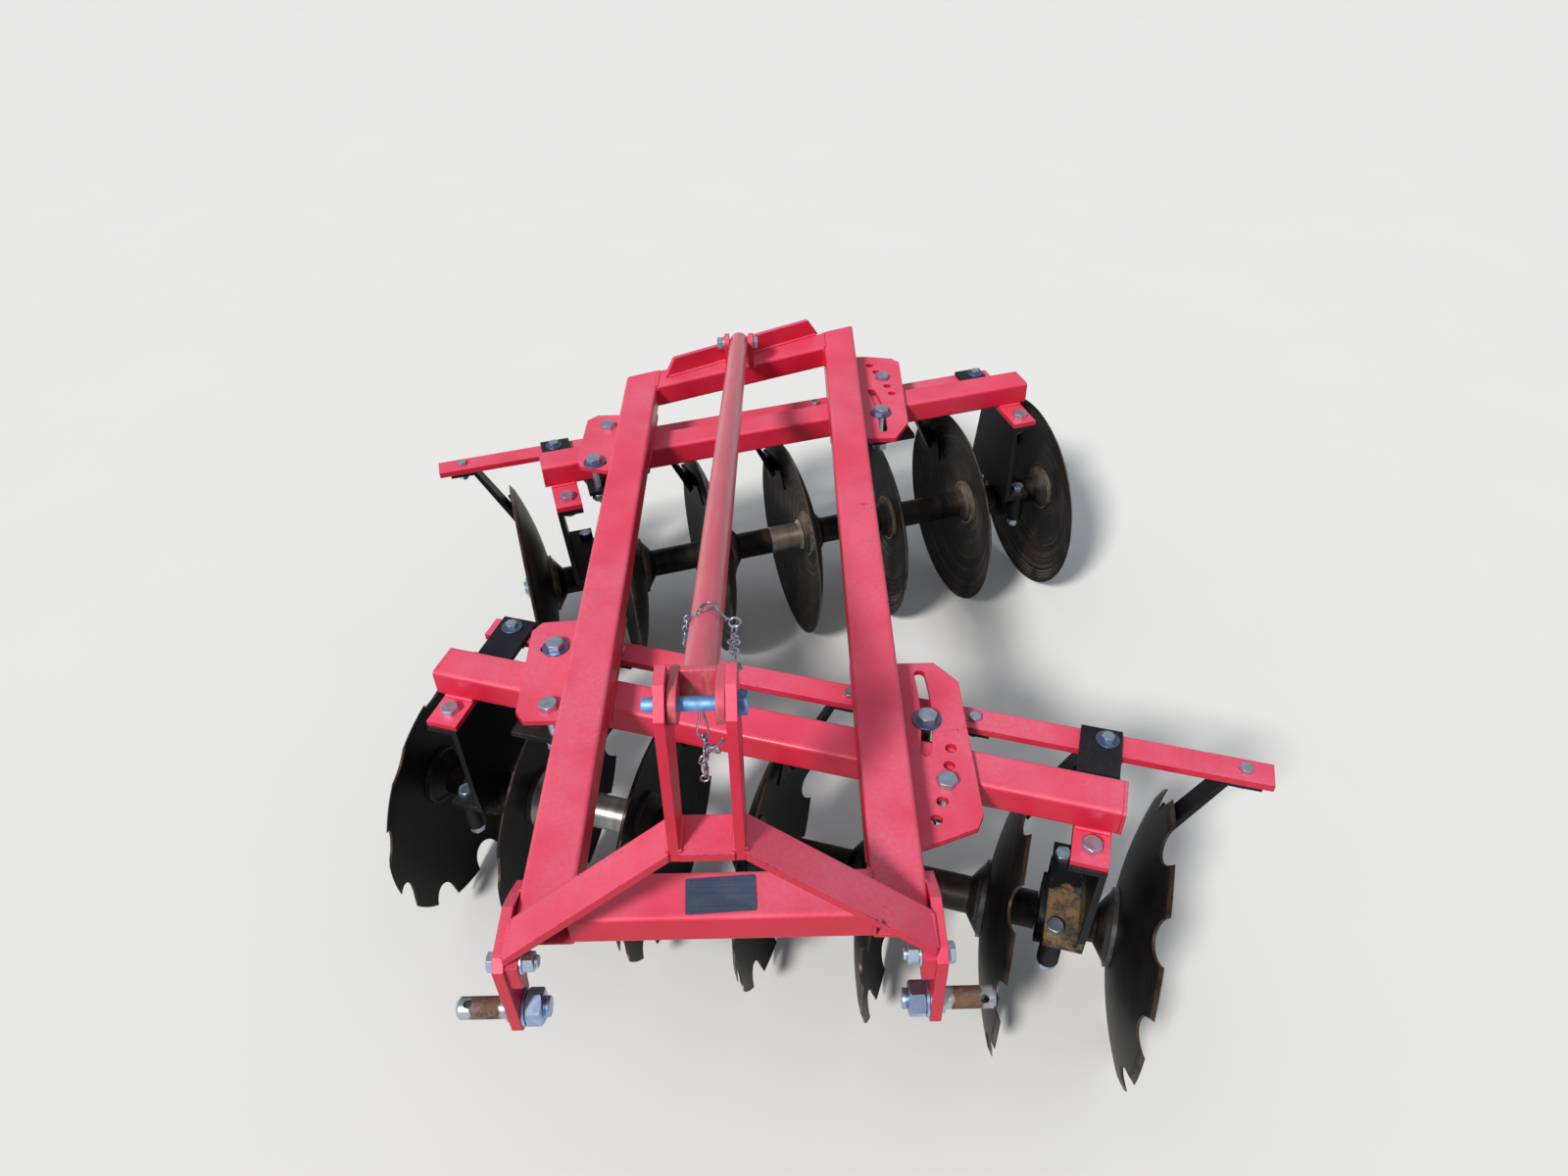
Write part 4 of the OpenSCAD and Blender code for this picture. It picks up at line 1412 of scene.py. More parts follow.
@dataclass
class GangFittings:
    """The fasteners of one gang.

    Args:
        gang: the gang.
        label: front or rear.
        swing: places of the bolts that clamp the beam under its angle plates.
        wide: which of those have a big washer under the head.
        tab_y: place of the hanger tabs' bolts behind the beam's middle.
        bar_bolts: places of the scraper bolts along the bar.
        bracket_bolts: places of the bolts that go through a scraper bracket too.
        plate_top: height of the angle plates' top.
        clamp_depth: what a swing bolt clamps.
        tab_top: height of the tabs' top.
        tab_x: how far the tabs' bolts are from the beam's middle.
        tab_depth: what a tab's bolt clamps.
        foot_top: height of the feet that the bearings hang from.
        foot_depth: what a bearing's bolt clamps.
        bolt_reach: how far the bearings' bolts are from the axle.
        bar_y: place of the scraper bar's bolts behind the beam's middle.
        bar_depth: what a scraper's bolt clamps.
        bracket_t: thickness of a scraper bracket.
        hub_end: distance of the axle's nut from the end disc's hub, where that disc's hollow faces it.
        hub_back: that distance where the end disc's back faces the nut.
        rod_over: how far the axle's rod ends beyond the end discs' hubs.
        big_washer: diameter of the big washers under the swing bolts' heads.
        bar_washer: diameter of the washers under the bracket bolts' heads.
    """

    gang: Gang
    label: str
    swing: tuple[tuple[float, float], ...]
    wide: tuple[int, ...]
    tab_y: float
    bar_bolts: tuple[float, ...]
    bracket_bolts: tuple[float, ...]
    plate_top: float = 0.542
    clamp_depth: float = 0.070
    tab_top: float = 0.482
    tab_x: float = 0.508
    tab_depth: float = 0.020
    foot_top: float = 0.292
    foot_depth: float = 0.082
    bolt_reach: float = 0.068
    bar_y: float = 0.121
    bar_depth: float = 0.020
    bracket_t: float = 0.008
    hub_end: float = 0.034
    hub_back: float = 0.030
    rod_over: float = 0.062
    big_washer: float = 0.044
    bar_washer: float = 0.036

    def build(self, fasteners: Fasteners) -> None:
        """Fits every fastener of the gang.

        Args:
            fasteners: makes the bolts and nuts.
        """
        gang, turn = self.gang, self.gang.turn()

        def fit(
            pattern: Piece, name: str, x: float, y: float, z: float, finish: str = ZINC.name
        ) -> None:
            """Fits an upright bolt on the frame."""
            fasteners.fit(pattern, f"{name}_{self.label}", gang.place(x, y, z), turn, Body.FRAME, finish)

        for index, (x, y) in enumerate(self.swing):
            raised = M16_WIDE.washer_t if index in self.wide else 0.0
            pattern = fasteners.bolt(M16_WIDE, self.clamp_depth, raised)
            fit(pattern, f"swing_bolt_{index + 1}", x, y, self.plate_top)
            if raised:
                fit(
                    fasteners.washer(M16, self.big_washer), f"swing_washer_{index + 1}",
                    x, y, self.plate_top, DARK_ZINC.name,
                )
        for side, index in ((-1, 1), (1, 2)):
            pattern = fasteners.bolt(M16_WIDE, self.tab_depth)
            fit(pattern, f"tab_bolt_{index}", side * self.tab_x, self.tab_y, self.tab_top)
        pattern = fasteners.bolt(M16, self.foot_depth)
        for index, bearing in enumerate(gang.bearings):
            for row, side in enumerate((-1, 1)):
                fit(
                    pattern, f"bearing_bolt_{2 * index + row + 1}", bearing,
                    side * self.bolt_reach - gang.ahead, self.foot_top,
                )
        pattern = fasteners.bolt(M12, self.bar_depth)
        for index, x in enumerate(self.bar_bolts):
            fit(pattern, f"scraper_bolt_{index + 1}", x, self.bar_y, gang.bar_top)
        pattern = fasteners.bolt(M12, self.bar_depth + self.bracket_t, M12.washer_t)
        ring = fasteners.washer(M12, self.bar_washer)
        for index, x in enumerate(self.bracket_bolts):
            top = gang.bar_top + self.bracket_t
            fit(pattern, f"bracket_bolt_{index + 1}", x, self.bar_y, top)
            fit(ring, f"bracket_washer_{index + 1}", x, self.bar_y, top, DARK_ZINC.name)
        self._axle_nuts(fasteners)

    def _axle_nuts(self, fasteners: Fasteners) -> None:
        """Fits the nuts on both ends of the axle, which turn with it.

        Args:
            fasteners: makes the bolts and nuts.
        """
        gang = self.gang
        last_hub = gang.first_hub + HUB_SPAN
        right = self.hub_end if gang.hollow > 0 else self.hub_back
        left = self.hub_back if gang.hollow > 0 else self.hub_end
        for name, x, over, facing in (
            ("right", last_hub + right, self.rod_over - right, Facing.RIGHT),
            ("left", gang.first_hub - left, self.rod_over - left, Facing.LEFT),
        ):
            tail = over - M30.washer_t - M30.nut
            pattern = fasteners.nut_end(M30, tail)
            place = gang.place(x, -gang.ahead, AXLE_Z)
            fasteners.fit(
                pattern, f"axle_nut_{name}_{self.label}", place, gang.turn() @ facing.turn(),
                gang.body, ZINC.name,
            )


@dataclass
class HitchFittings:
    """Fasteners of the hitch, the mast and the brace.

    Args:
        upper: place of the brackets' upper bolts behind and above the hitch's ground point.
        bracket_t: thickness of a hitch bracket.
        lug_t: thickness of the lug inside it.
        mast: place of the mast bolt's head, counted from the hitch.
        mast_w: width of the mast there.
        bolt_over: how far that bolt stands out on the other side.
        brace: place of the nut on the brace's rear bolt, counted from the hitch.
    """

    upper: tuple[float, float] = (-0.045, 0.579)
    bracket_t: float = 0.014
    lug_t: float = 0.016
    mast: Point = (0.037, 0.030, 0.936)
    mast_w: float = 0.086
    bolt_over: float = 0.015
    brace: Point = (-0.037, 1.4086, 0.6465)

    def build(self, fasteners: Fasteners) -> None:
        """Fits the nuts and bolts of the hitch.

        Args:
            fasteners: makes the bolts and nuts.
        """
        for side, label, head, tail in (
            (-1, "left", Facing.LEFT, Facing.RIGHT), (1, "right", Facing.RIGHT, Facing.LEFT),
        ):
            fasteners.fit(
                fasteners.bolt(M16, self.bracket_t + self.lug_t), f"hitch_bolt_{label}",
                at_hitch(side * (HALF_W + self.bracket_t), *self.upper), head.turn(),
                Body.FRAME, ZINC.name,
            )
            fasteners.fit(
                fasteners.nut_end(M27, 0.008), f"hitch_pin_nut_{label}",
                at_hitch(side * HALF_W, *PIN_AXIS), tail.turn(), Body.FRAME, ZINC_PAINTED_SKY_BLUE.name,
            )
        nut = fasteners.nut_end(M16, 0.0)
        fasteners.fit(
            nut, "brace_nut", at_hitch(*self.brace), Facing.LEFT.turn(), Body.FRAME, ZINC.name
        )
        self._mast_bolt(fasteners)

    def _mast_bolt(self, fasteners: Fasteners) -> None:
        """Puts a plain bolt through the mast, held by the clip below it and with no nut.

        Args:
            fasteners: makes the bolts and nuts.
        """
        head = fasteners.hexagon(M16, M16.head, False)
        end = -self.mast_w - self.bolt_over
        shank = fasteners.stem(M16, 0.001, end, end + 0.002)
        piece = smooth(joined("mast_bolt", [head, shank]))
        piece.data.transform(Matrix.Translation(at_hitch(*self.mast)) @ Facing.RIGHT.turn())
        dress(piece, Body.FRAME, BLUED.name)
        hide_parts("top_link_bolt")


# forms that replace or complete the plain solids


@dataclass
class HitchPins:
    """The lower hitch pins, each with a collar and a linchpin's hole that leans forward.

    Args:
        inner: where a pin starts inside its nut, outwards from the middle of the frame.
        collar: where its collar starts.
        collar_w: width of the collar.
        length: length of the pin beyond the collar.
        radius: its radius.
        tail_r: radius of the shank inside the bracket.
        chamfer: size of its end's chamfer.
        hole: distance of the hole from the pin's end.
        hole_r: radius of the hole.
        leans: how far the left and the right pin's hole lean forward, in degrees.
        over: how far the collar stands out from the pin.
        ease: size of the broken edges.
    """

    inner: float = 0.2350
    collar: float = 0.2695
    collar_w: float = 0.006
    length: float = 0.064
    radius: float = 0.014
    tail_r: float = 0.011
    chamfer: float = 0.004
    hole: float = 0.015
    hole_r: float = 0.0055
    leans: tuple[float, float] = (10.0, 40.0)
    over: float = 0.004
    ease: float = 0.0008

    def _pin(self, side: int, label: str) -> None:
        """Turns one pin and drills it.

        Args:
            side: -1 for the left pin, 1 for the right one.
            label: left or right.
        """
        face = self.collar + self.collar_w
        end = face + self.length
        wide = self.radius + self.over
        tip = self.radius - self.chamfer
        ease = self.ease
        profile = [
            (0.0, self.inner), (self.tail_r, self.inner), (self.tail_r, self.collar),
            (wide - ease, self.collar), (wide, self.collar + ease), (wide, face - ease),
            (wide - ease, face), (self.radius, face), (self.radius, end - self.chamfer),
            (tip + ease, end - ease / 2), (tip, end), (0.0, end),
        ]
        piece = turned_piece(f"hitch_pin_{label}", profile, 48)
        facing = Facing.RIGHT if side > 0 else Facing.LEFT
        piece.data.transform(Matrix.Translation(at_hitch(0.0, *PIN_AXIS)) @ facing.turn())
        clear_selection()
        bpy.ops.mesh.primitive_cylinder_add(
            vertices=32, radius=self.hole_r, depth=4 * self.radius,
            rotation=(math.radians(self.leans[side > 0]), 0, 0),
            location=at_hitch(side * (end - self.hole), *PIN_AXIS),
        )
        cut_with(piece, named("drill"), "DIFFERENCE")
        dress(smooth(piece), Body.FRAME, PINS.name)
        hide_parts(f"lower_hitch_pin_{label}")

    def build(self) -> None:
        """Builds both pins."""
        self._pin(-1, "left")
        self._pin(1, "right")


@dataclass
class BearingHousings:
    """The bearing housings, whose bolt bosses end a little below the axle's middle.

    Args:
        foot: height of the solids' boss ends.
        shorter: how much shorter the bosses are.
        reach: how far from the axle the bosses start.
    """

    foot: float = 0.2105
    shorter: float = 0.020
    reach: float = 0.0495

    def build(self) -> None:
        """Shortens the bosses on a copy of each housing."""
        for gang, label in ((FRONT, "front"), (REAR, "rear")):
            back = gang.turn().inverted()
            middle = Vector((*gang.mid, 0.0))
            for side in ("left", "right"):
                node = f"bearing_{label}_{side}"
                piece = copied(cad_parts[node], f"housing_{label}_{side}", Matrix.Identity(4))
                with editing(piece, "VERT"):
                    tidy_mesh()
                    pick_verts(
                        piece,
                        lambda place: place.z < self.foot
                        and abs((back @ (place - middle)).y + gang.ahead) > self.reach,
                    )
                    bpy.ops.transform.translate(value=(0, 0, self.shorter))
                dress(smooth(piece), Body.FRAME, BLACK.name)
                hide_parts(node)


# welds


@dataclass
class WeldBeads:
    """Rippled weld beads where the frame's members meet.

    Args:
        pitch: distance from ripple to ripple.
        radius: the bead's radius.
        rail_in: how far the rails' inner faces are from the middle.
        top: height of the beads along the crossbeams' upper edges.
        low: height at which the beads in the corners start.
        high: height at which those beads end.
        rear_y: place of the rear crossbeam's front face on the middle line.
        skew: the rear crossbeam's turn, in degrees.
        plates: side, start and end of each angle plate along its rail.
        upright_turn: the upright rear plate's turn, in degrees.
        tab_x: how far the hanger tabs are from a gang beam's middle.
    """

    pitch: float = 0.0045
    radius: float = 0.0034
    rail_in: float = 0.1855
    top: float = 0.5905
    low: float = 0.549
    high: float = 0.586
    rear_y: float = 1.401
    skew: float = 23.7
    plates: tuple[tuple[int, float, float], ...] = (
        (-1, 0.386, 0.600), (1, 0.140, 0.485), (-1, 1.078, 1.284), (1, 1.174, 1.470),
    )
    upright_turn: float = 29.5
    tab_x: float = 0.508

    def _ripple(self) -> Piece:
        """Returns one open ripple along +X, ready to be repeated.

        Returns:
            the ripple.
        """
        clear_selection()
        bpy.ops.mesh.primitive_circle_add(vertices=10, radius=self.radius, rotation=(0, math.pi / 2, 0))
        piece = named("ripple")
        with editing(piece, "EDGE"):
            for swell, share in ((1.14, 0.30), (1.04, 0.30), (1 / (1.14 * 1.04), 0.40)):
                bpy.ops.mesh.select_all(action="DESELECT")
                mesh = bmesh.from_edit_mesh(piece.data)
                front = max(vert.co.x for vert in mesh.verts)
                for edge in mesh.edges:
                    if all(vert.co.x > front - 1e-6 for vert in edge.verts):
                        edge.select_set(True)
                bmesh.update_edit_mesh(piece.data)
                bpy.ops.mesh.extrude_edges_move(
                    TRANSFORM_OT_translate={"value": (share * self.pitch, 0.0, 0.0)}
                )
                bpy.ops.transform.resize(value=(1.0, swell, swell))
        return piece

    def _bead(self, pattern: Piece, name: str, start: Vector, end: Vector) -> Piece:
        """Returns a closed bead from start to end.

        Args:
            pattern: the ripple.
            name: the bead's name.
            start: where it starts.
            end: where it ends.

        Returns:
            the bead.
        """
        run = end - start
        count = max(2, round(run.length / self.pitch))
        bead = copied(pattern, name, Matrix.Identity(4))
        repeat = bead.modifiers.new("repeat", "ARRAY")
        repeat.count = count
        repeat.use_relative_offset = False
        repeat.use_constant_offset = True
        repeat.constant_offset_displace = (self.pitch, 0.0, 0.0)
        repeat.use_merge_vertices = True
        repeat.merge_threshold = 1e-5
        apply_modifiers(bead)
        with editing(bead, "EDGE"):
            bpy.ops.mesh.select_all(action="DESELECT")
            bpy.ops.mesh.select_non_manifold()
            bpy.ops.mesh.fill_holes(sides=12)
            tidy_mesh()
        stretch = Matrix.Diagonal((run.length / (count * self.pitch), 1.0, 1.0, 1.0))
        turn = Vector((1.0, 0.0, 0.0)).rotation_difference(run.normalized()).to_matrix().to_4x4()
        bead.data.transform(Matrix.Translation(start) @ turn @ stretch)
        return bead

    def _frame_runs(self) -> list[Run]:
        """Returns where the frame's members are welded.

        Returns:
            each bead's start and end.
        """
        runs: list[Run] = []

        def add(*points: Point) -> None:
            """Adds a bead along a chain of points counted from the hitch."""
            places = [at_hitch(*point) for point in points]
            runs.extend(zip(places, places[1:]))

        slope = math.tan(math.radians(self.skew))
        for side in (-1, 1):
            inner, outer = side * self.rail_in, side * HALF_W
            add((inner, 0.004, self.top), (inner, 0.066, self.top))
            add((inner, 0.0715, self.low), (inner, 0.0715, self.high))
            near = self.rear_y + inner * slope
            add((inner, near + 0.004, self.top), (inner, near + 0.072, self.top))
            add((inner, near - 0.0012, self.low), (inner, near - 0.0012, self.high))
            add((outer, -0.054, 0.6015), (outer, -0.008, 0.6035))
            add((outer, 0.0800, 0.545), (outer, 0.0800, 0.565), (outer, 0.0480, 0.5855))
            for off, start, end, height in (
                (0.043, -0.020, 0.028, 0.7525), (0.031, -0.021, 0.029, 0.7525),
                (0.0315, 1.389, 1.431, 0.5925),
            ):
                x = MAST_BOLT[0] + side * off
                add((x, start, height), (x, end, height))
        for side, start, end in self.plates:
            add((side * 0.2560, start, 0.5430), (side * 0.2560, end, 0.5430))
        foot = Vector((0.0, 1.459, 0.5925))
        turn = Matrix.Rotation(math.radians(self.upright_turn), 4, "Z")
        for side in (-1, 1):
            ends = [foot + turn @ Vector((x, side * 0.006, 0.0)) for x in (-0.188, 0.188)]
            add(*(tuple(end) for end in ends))
        return runs

    def _gang_runs(self, gang: Gang, brackets: Sequence[float]) -> list[Run]:
        """Returns where one gang's tabs and brackets are welded to its beam.

        Args:
            gang: the gang.
            brackets: places of the scraper brackets along its beam.

        Returns:
            each bead's start and end.
        """
        runs: list[Run] = []

        def add(start: Point, end: Point) -> None:
            """Adds a bead between two points of the gang."""
            runs.append((gang.place(*start), gang.place(*end)))

        for middle in (-self.tab_x, self.tab_x):
            add((middle - 0.025, -0.0325, 0.4825), (middle + 0.025, -0.0325, 0.4825))
        for x in brackets:
            add((x - 0.029, 0.0335, 0.5200), (x + 0.029, 0.0335, 0.5200))
            for edge in (x - 0.0315, x + 0.0315):
                add((edge, 0.0335, 0.4900), (edge, 0.0335, 0.5190))
        return runs

    def build(self) -> None:
        """Lays every bead, joined into one piece for each part of the implement."""
        pattern = self._ripple()
        for label, runs in (
            ("frame", self._frame_runs()),
            ("front_beam", self._gang_runs(FRONT, (-0.480, 0.506))),
            ("rear_beam", self._gang_runs(REAR, (-0.506, 0.480))),
        ):
            beads = [
                self._bead(pattern, f"bead_{label}_{index}", start, end)
                for index, (start, end) in enumerate(runs)
            ]
            piece = smooth(joined(f"weld_beads_{label}", beads), 40.0)
            dress(piece, Body.FRAME, CRIMSON.name)
        removed([pattern])


# clips and chain


@dataclass
class ClipsAndChain:
    """Spring clips, rings and short chains of thin wire on the mast's bolt and on the brace.

    Args:
        wire_r: radius of the wire.
        link: length and width of a link over its wire's middle.
        fall: slope of the brace, in degrees.
        chain_y: where the brace's chains hang, behind the hitch.
        web: width, thickness and height of the web that closes the fork.
        web_at: the web's middle along the brace.
        fork_cut: how much shorter the fork's plates are than the solids.
        coil_r: radius of the coil at the longer chain's end.
    """

    wire_r: float = 0.0013
    link: tuple[float, float] = (0.0130, 0.0072)
    fall: float = 11.87
    chain_y: float = 0.188
    web: Point = (0.0398, 0.010, 0.044)
    web_at: float = 0.0348
    fork_cut: float = 0.068
    coil_r: float = 0.0034

    def _on_brace(self, along: float, side: float, above: float) -> Vector:
        """Returns the model's point for one counted from the mast's bolt along the brace."""
        turn = Matrix.Rotation(math.radians(-self.fall), 3, "X")
        return at_hitch(*MAST_BOLT) + turn @ Vector((side, along, above))

    def _loop(
        self, name: str, middle: Vector, length: float, width: float, turn: float, lean: float
    ) -> Piece:
        """Returns a link or ring of wire.

        Args:
            name: the piece's name.
            middle: its middle.
            length: its length over the wire's middle.
            width: its width.
            turn: its turn about the vertical, in degrees.
            lean: its lean, in degrees.

        Returns:
            the loop.
        """
        clear_selection()
        bpy.ops.mesh.primitive_torus_add(
            major_radius=width / 2, minor_radius=self.wire_r, major_segments=28, minor_segments=8,
            rotation=(math.pi / 2, 0, 0),
        )
        piece = named(name)
        if length > width:
            with editing(piece, "VERT"):
                for side in (-1, 1):
                    pick_verts(piece, lambda place: place.z * side > 1e-4)
                    bpy.ops.transform.translate(value=(0, 0, side * (length - width) / 2))
        piece.data.transform(
            Matrix.Translation(middle)
            @ Matrix.Rotation(math.radians(turn), 4, "Z")
            @ Matrix.Rotation(math.radians(lean), 4, "Y")
        )
        return smooth(piece, 60.0)

    def _chain(
        self, name: str, y: float, loops: Sequence[tuple[float, ...]], wires: Sequence[Piece]
    ) -> None:
        """Hangs loops one in the next and joins them with the wires that they hang from.

        Args:
            name: the piece's name.
            y: where they hang, behind the hitch.
            loops: place across and above the mast's bolt, turn, lean, and length and width where it
                is no plain link.
            wires: the wires that belong to the chain.
        """
        parts = list(wires)
        for index, (side, up, turn, lean, *size) in enumerate(loops):
            length, width = size or self.link
            middle = at_hitch(MAST_BOLT[0] + side, y, MAST_BOLT[2] + up)
            parts.append(self._loop(f"{name}_{index}", middle, length, width, turn, lean))
        dress(joined(name, parts), Body.FRAME, WIRE.name)

    def _mast_clip(self) -> None:
        """Bends the narrow clip under the mast's bolt and hangs its links and rings."""
        x, y, z = MAST_BOLT
        pear = [
            (0.0020, -0.0070), (0.0015, -0.0160), (-0.0005, -0.0270), (-0.0031, -0.0370),
            (-0.0034, -0.0440), (-0.0008, -0.0500), (0.0032, -0.0528), (0.0075, -0.0515),
            (0.0094, -0.0455), (0.0088, -0.0380), (0.0068, -0.0260), (0.0051, -0.0150),
            (0.0046, -0.0070),
        ]
        hook = [
            (0.0060, -0.0655), (0.0100, -0.0672), (0.0172, -0.0622), (0.0212, -0.0560), (0.0236, -0.0500),
            (0.0250, -0.0545), (0.0236, -0.0605), (0.0205, -0.0635),
        ]
        clip = [at_hitch(x + side, y + 0.0012 * math.sin(400 * side), z + up) for side, up in pear]
        catch = [at_hitch(x + side, y - 0.0020, z + up) for side, up in hook]
        wires = [wire("mast_clip", clip, self.wire_r), wire("mast_hook", catch, self.wire_r * 0.85)]
        loops = [
            (0.0033, -0.0090, 0.0, 90.0, 0.0056, 0.0030),
            (0.0030, -0.0500, 60.0, 10.0, 0.0070, 0.0048),
            (0.0046, -0.0580, 78.0, -6.0),
            (0.0056, -0.0680, 10.0, 0.0, 0.0080, 0.0080),
            (0.0095, -0.0700, 40.0, 75.0), (0.0140, -0.0715, -30.0, 82.0),
            (0.0030, -0.0765, 70.0, 12.0), (0.0006, -0.0870, 22.0, 20.0, 0.0130, 0.0095),
            (0.0019, -0.0975, 74.0, -12.0), (0.0022, -0.1075, 66.0, 8.0),
            (-0.0002, -0.1180, 6.0, 0.0, 0.0096, 0.0096),
        ]
        self._chain("mast_chain", y, loops, wires)

    def _brace_wires(self) -> None:
        """Bends the wires over the brace and hangs a chain at each side of it."""
        left_wire = [
            (0.1685, -0.0255, 0.0030), (0.1640, -0.0215, 0.0085), (0.1570, -0.0168, 0.0130),
            (0.1575, -0.0060, 0.0208), (0.1620, 0.0040, 0.0224), (0.1650, 0.0097, 0.0226),
            (0.1650, 0.0140, 0.0200),
        ]
        right_wire = [
            (0.1680, -0.0060, 0.0215), (0.1735, -0.0042, 0.0222), (0.1765, 0.0025, 0.0236),
            (0.1735, 0.0085, 0.0238), (0.1670, 0.0120, 0.0226), (0.1640, 0.0150, 0.0190),
            (0.1640, 0.0190, 0.0135), (0.1655, 0.0230, 0.0080), (0.1670, 0.0265, 0.0050),
            (0.1650, 0.0300, 0.0060),
        ]
        tail = [
            (0.1620, 0.0245, 0.0100), (0.1640, 0.0215, 0.0075), (0.1680, 0.0230, 0.0035),
            (0.1660, 0.0265, 0.0070), (0.1620, 0.0240, 0.0085), (0.1650, 0.0225, 0.0045),
        ]
        wraps = [
            (0.1530, -0.0100, 0.0190), (0.1600, -0.0090, 0.0232), (0.1610, -0.0060, 0.0196),
            (0.1540, -0.0055, 0.0236), (0.1615, -0.0035, 0.0236), (0.1590, -0.0020, 0.0200),
        ]
        wires = {
            name: wire(f"brace_{name}", [self._on_brace(*point) for point in route], self.wire_r * size)
            for name, route, size in (
                ("left", left_wire, 1.1), ("right", right_wire, 1.1), ("tail", tail, 1.0),
                ("wraps", wraps, 0.9),
            )
        }
        loops = [
            (0.0335, -0.0285, 4.0, 0.0, 0.0138, 0.0138),
            (0.0322, -0.0405, 28.0, 14.0, 0.0125, 0.0066), (0.0296, -0.0480, 82.0, -8.0),
            (0.0300, -0.0560, 24.0, 62.0), (0.0318, -0.0590, -20.0, 78.0), (0.0290, -0.0635, 60.0, 50.0),
            (0.0305, -0.0745, 6.0, 0.0, 0.0104, 0.0104), (0.0305, -0.0850, 72.0, -14.0),
            (0.0325, -0.0935, 20.0, -34.0),
        ]
        self._chain("brace_chain_right", self.chain_y, loops, [wires["right"], wires["tail"]])
        loops = [
            (-0.0208, -0.0200, 8.0, 0.0, 0.0068, 0.0068), (-0.0212, -0.0290, 78.0, 4.0),
            (-0.0230, -0.0385, 18.0, -18.0), (-0.0246, -0.0480, 66.0, 8.0), (-0.0246, -0.0575, 12.0, 12.0),
            (-0.0236, -0.0670, 76.0, 0.0),
        ]
        self._chain("brace_chain_left", self.chain_y, loops, [wires["left"], wires["wraps"]])

    def _brace_clip(self) -> None:
        """Coils the clip that the longer chain ends in."""
        x, z = MAST_BOLT[0] + 0.0350, MAST_BOLT[2] - 0.1010
        route = []
        for step in range(26):
            angle = math.tau * step / 12
            y = self.chain_y - 0.003 + 0.00011 * step * 2
            across, above = self.coil_r * math.sin(angle), self.coil_r * math.cos(angle)
            route.append(at_hitch(x + across, y, z + above))
        for side, up in ((-0.0050, -0.0150), (-0.0080, -0.0230)):
            route.append(at_hitch(x + side, self.chain_y + 0.004, z + up))
        clip = wire("brace_clip", route, self.wire_r)
        dress(clip, Body.FRAME, WIRE.name)

    def _fork(self) -> None:
        """Closes the fork with a web, against which the tube ends, on a copy with shorter plates."""
        clear_selection()
        bpy.ops.mesh.primitive_cube_add(size=1.0, scale=self.web)
        web = named("fork_web")
        with editing(web, "EDGE"):
            bpy.ops.mesh.select_all(action="SELECT")
            bpy.ops.mesh.bevel(offset=0.0012, segments=3)
            tidy_mesh()
        turn = Matrix.Rotation(math.radians(-self.fall), 4, "X")
        web.data.transform(Matrix.Translation(self._on_brace(self.web_at, 0.0, 0.0)) @ turn)
        plates = copied(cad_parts["brace_fork"], "fork_plates", Matrix.Identity(4))
        start = at_hitch(*MAST_BOLT)
        down = turn @ Vector((0.0, 1.0, 0.0))
        with editing(plates, "VERT"):
            tidy_mesh()
            pick_verts(plates, lambda place: (place - start).dot(down) > 2 * self.web_at)
            bpy.ops.transform.translate(value=-self.fork_cut * down)
        fork = smooth(joined("fork", [plates, web]))
        dress(fork, Body.FRAME, BRACE.name)
        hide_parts("brace_fork")

    def build(self) -> None:
        """Builds the clips, the chains and the fork."""
        self._mast_clip()
        self._brace_wires()
        self._brace_clip()
        self._fork()


@dataclass
class NamePlate:
    """The blank plate riveted on the front crossbeam.

    Args:
        middle: its middle, counted from the hitch.
        size: its length and width.
        turn: its turn on the beam, in degrees.
        sheet_t: thickness of its sheet.
    """

    middle: Point = (-0.0021, 0.0335, 0.5925)
    size: tuple[float, float] = (0.0885, 0.0520)
    turn: float = 3.2
    sheet_t: float = 0.0010

    def build(self) -> None:
        """Models the plate with its raised rim and four rivets."""
        clear_selection()
        bpy.ops.mesh.primitive_cube_add(size=1.0, scale=(*self.size, self.sheet_t))
        piece = named("nameplate")
        half_x, half_y = self.size[0] / 2, self.size[1] / 2
        with editing(piece, "EDGE"):
            mesh = bmesh.from_edit_mesh(piece.data)
            for edge in mesh.edges:
                first, second = edge.verts
                edge.select_set(abs(first.co.z - second.co.z) > self.sheet_t / 2)
            bmesh.update_edit_mesh(piece.data)
            bpy.ops.mesh.bevel(offset=0.003, segments=4)
            bpy.ops.mesh.select_mode(type="FACE")
            pick_faces(piece, lambda middle, normal: normal.z > 0.9)
            bpy.ops.mesh.inset(thickness=0.0022)
            bpy.ops.mesh.inset(thickness=0.0005)
            bpy.ops.transform.translate(value=(0, 0, -0.0003))
        parts = [piece]
        dome = [(0.0, -0.0002), (0.0019, -0.0002), (0.0017, 0.0004), (0.0010, 0.0009), (0.0, 0.0011)]
        rivet = turned_piece("rivet", dome, 14)
        for x in (-1, 1):
            for y in (-1, 1):
                at = Matrix.Translation((x * (half_x - 0.0042), y * (half_y - 0.0042), self.sheet_t / 2))
                parts.append(copied(rivet, "rivet_copy", at))
        removed([rivet])
        whole = smooth(joined("nameplate", parts))
        place = Matrix.Translation(at_hitch(*self.middle)) @ Matrix.Rotation(math.radians(self.turn), 4, "Z")
        whole.data.transform(place)
        dress(whole, Body.FRAME, PLATE.name)


# studio


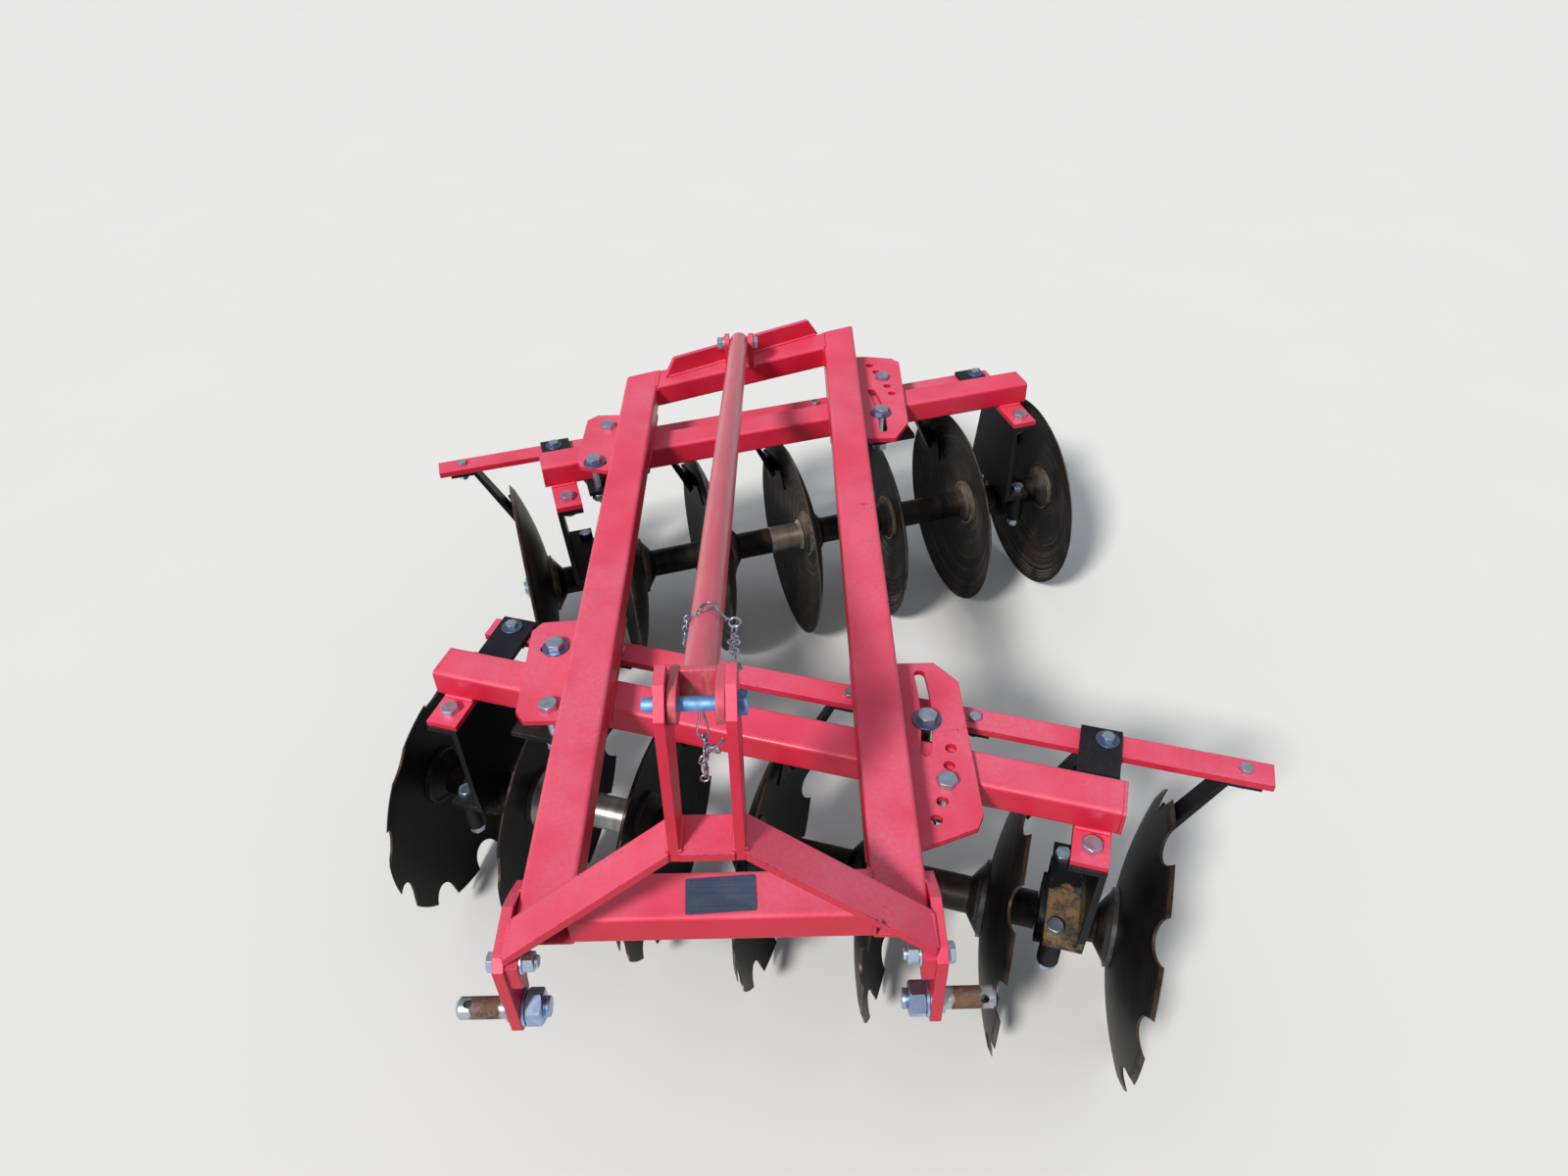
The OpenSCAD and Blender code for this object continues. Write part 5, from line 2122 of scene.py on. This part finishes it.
@dataclass
class Studio:
    """Camera, floor and light.

    Args:
        eye: the camera's place.
        pitch: how far it looks down, in radians.
        yaw: how far it looks to the right.
        roll: its lean.
        lens: focal length on a 36 mm sensor.
        sky: strength of the sky's light.
        sun: strength of the sun.
        sun_way: the way in which the sun shines.
    """

    eye: Point = (0.02115, -1.53183, 1.73586)
    pitch: float = 0.69430
    yaw: float = -0.00723
    roll: float = -0.02887
    lens: float = 24.554
    sky: float = 0.42
    sun: float = 3.0
    sun_way: Point = (0.41, 0.626, -0.664)

    def _camera(self) -> None:
        """Puts the camera where the photograph was taken."""
        cos, sin = math.cos, math.sin
        ahead = Vector((sin(self.yaw) * cos(self.pitch), cos(self.yaw) * cos(self.pitch), -sin(self.pitch)))
        level = Vector((cos(self.yaw), -sin(self.yaw), 0.0))
        above = level.cross(ahead)
        right = cos(self.roll) * level + sin(self.roll) * above
        up = cos(self.roll) * above - sin(self.roll) * level
        data = bpy.data.cameras.new("camera")
        data.lens = self.lens
        data.sensor_width = 36.0
        camera = bpy.data.objects.new("camera", data)
        bpy.context.collection.objects.link(camera)
        turn = Matrix((right, up, -ahead)).transposed().to_4x4()
        camera.matrix_world = Matrix.Translation(self.eye) @ turn
        bpy.context.scene.camera = camera

    def _floor(self) -> None:
        """Lays the pale floor."""
        clear_selection()
        bpy.ops.mesh.primitive_grid_add(x_subdivisions=4, y_subdivisions=4, size=60.0)
        floor = named("floor")
        graph = new_material("pale_floor")
        shade = graph.noise(graph.place(), 2.0, 2.0)
        pale = graph.mix(shade, (0.80, 0.80, 0.79), (0.83, 0.83, 0.82))
        path = graph.node("LightPath").outputs
        seen = graph.math("MAXIMUM", path["Is Camera Ray"], path["Is Glossy Ray"])
        seen = graph.math("MAXIMUM", seen, path["Is Transmission Ray"])
        # seen it is pale, but it throws back no more light than dry ground
        surface(graph, graph.mix(seen, (0.30, 0.29, 0.27), pale), 0.8, gloss=0.2)
        floor.data.materials.append(finished("pale_floor"))

    def _light(self) -> None:
        """Sets the sky and one broad sun from behind the camera's left."""
        scene = bpy.context.scene
        scene.view_settings.view_transform = "Standard"
        world = bpy.data.worlds.new("studio")
        world.use_nodes = True
        world.node_tree.nodes.clear()
        graph = Graph(world.node_tree)
        path = graph.node("LightPath")
        seen = graph.math("MAXIMUM", path.outputs["Is Camera Ray"], path.outputs["Is Transmission Ray"])
        back = graph.node("Background")
        graph.feed(back.inputs["Color"], graph.mix(seen, (0.90, 0.95, 1.0), (1.0, 1.0, 1.0)))
        graph.feed(back.inputs["Strength"], graph.span(seen, 0.0, 1.0, self.sky, 1.0))
        result = graph.node("OutputWorld")
        graph.feed(result.inputs["Surface"], back.outputs[0])
        scene.world = world
        data = bpy.data.lights.new("sun", "SUN")
        data.energy = self.sun
        data.angle = math.radians(9.0)
        data.color = (1.0, 0.975, 0.94)
        sun = bpy.data.objects.new("sun", data)
        bpy.context.collection.objects.link(sun)
        sun.rotation_mode = "QUATERNION"
        sun.rotation_quaternion = Vector(self.sun_way).to_track_quat("-Z", "Y")

    def build(self) -> None:
        """Builds the studio."""
        self._camera()
        self._floor()
        self._light()


def main() -> None:
    """Builds the studio, the finishes and every piece in order."""
    logging.basicConfig(level=logging.INFO, format="%(message)s")
    Studio().build()
    effects = Effects()
    for finish in FINISHES:
        finish.build(effects)
    paint_nodes()
    fasteners = Fasteners()
    GangFittings(
        FRONT, "front",
        swing=((-0.321, -0.063), (-0.3697, 0.064), (0.2969, -0.0511), (0.2474, 0.062)), wide=(1, 3),
        tab_y=-0.062, bar_bolts=(-0.285, -0.085, 0.115, 0.315, 0.715), bracket_bolts=(-0.485, 0.515),
    ).build(fasteners)
    GangFittings(
        REAR, "rear",
        swing=((-0.392, 0.065), (-0.4407, -0.062), (0.2369, 0.0771), (0.1816, -0.0643)), wide=(1, 3),
        tab_y=-0.082, bar_bolts=(-0.709, -0.309, -0.109, 0.091, 0.291), bracket_bolts=(-0.509, 0.491),
    ).build(fasteners)
    HitchFittings().build(fasteners)
    fasteners.clear()
    HitchPins().build()
    BearingHousings().build()
    WeldBeads().build()
    ClipsAndChain().build()
    NamePlate().build()


if __name__ == "__main__":
    main()
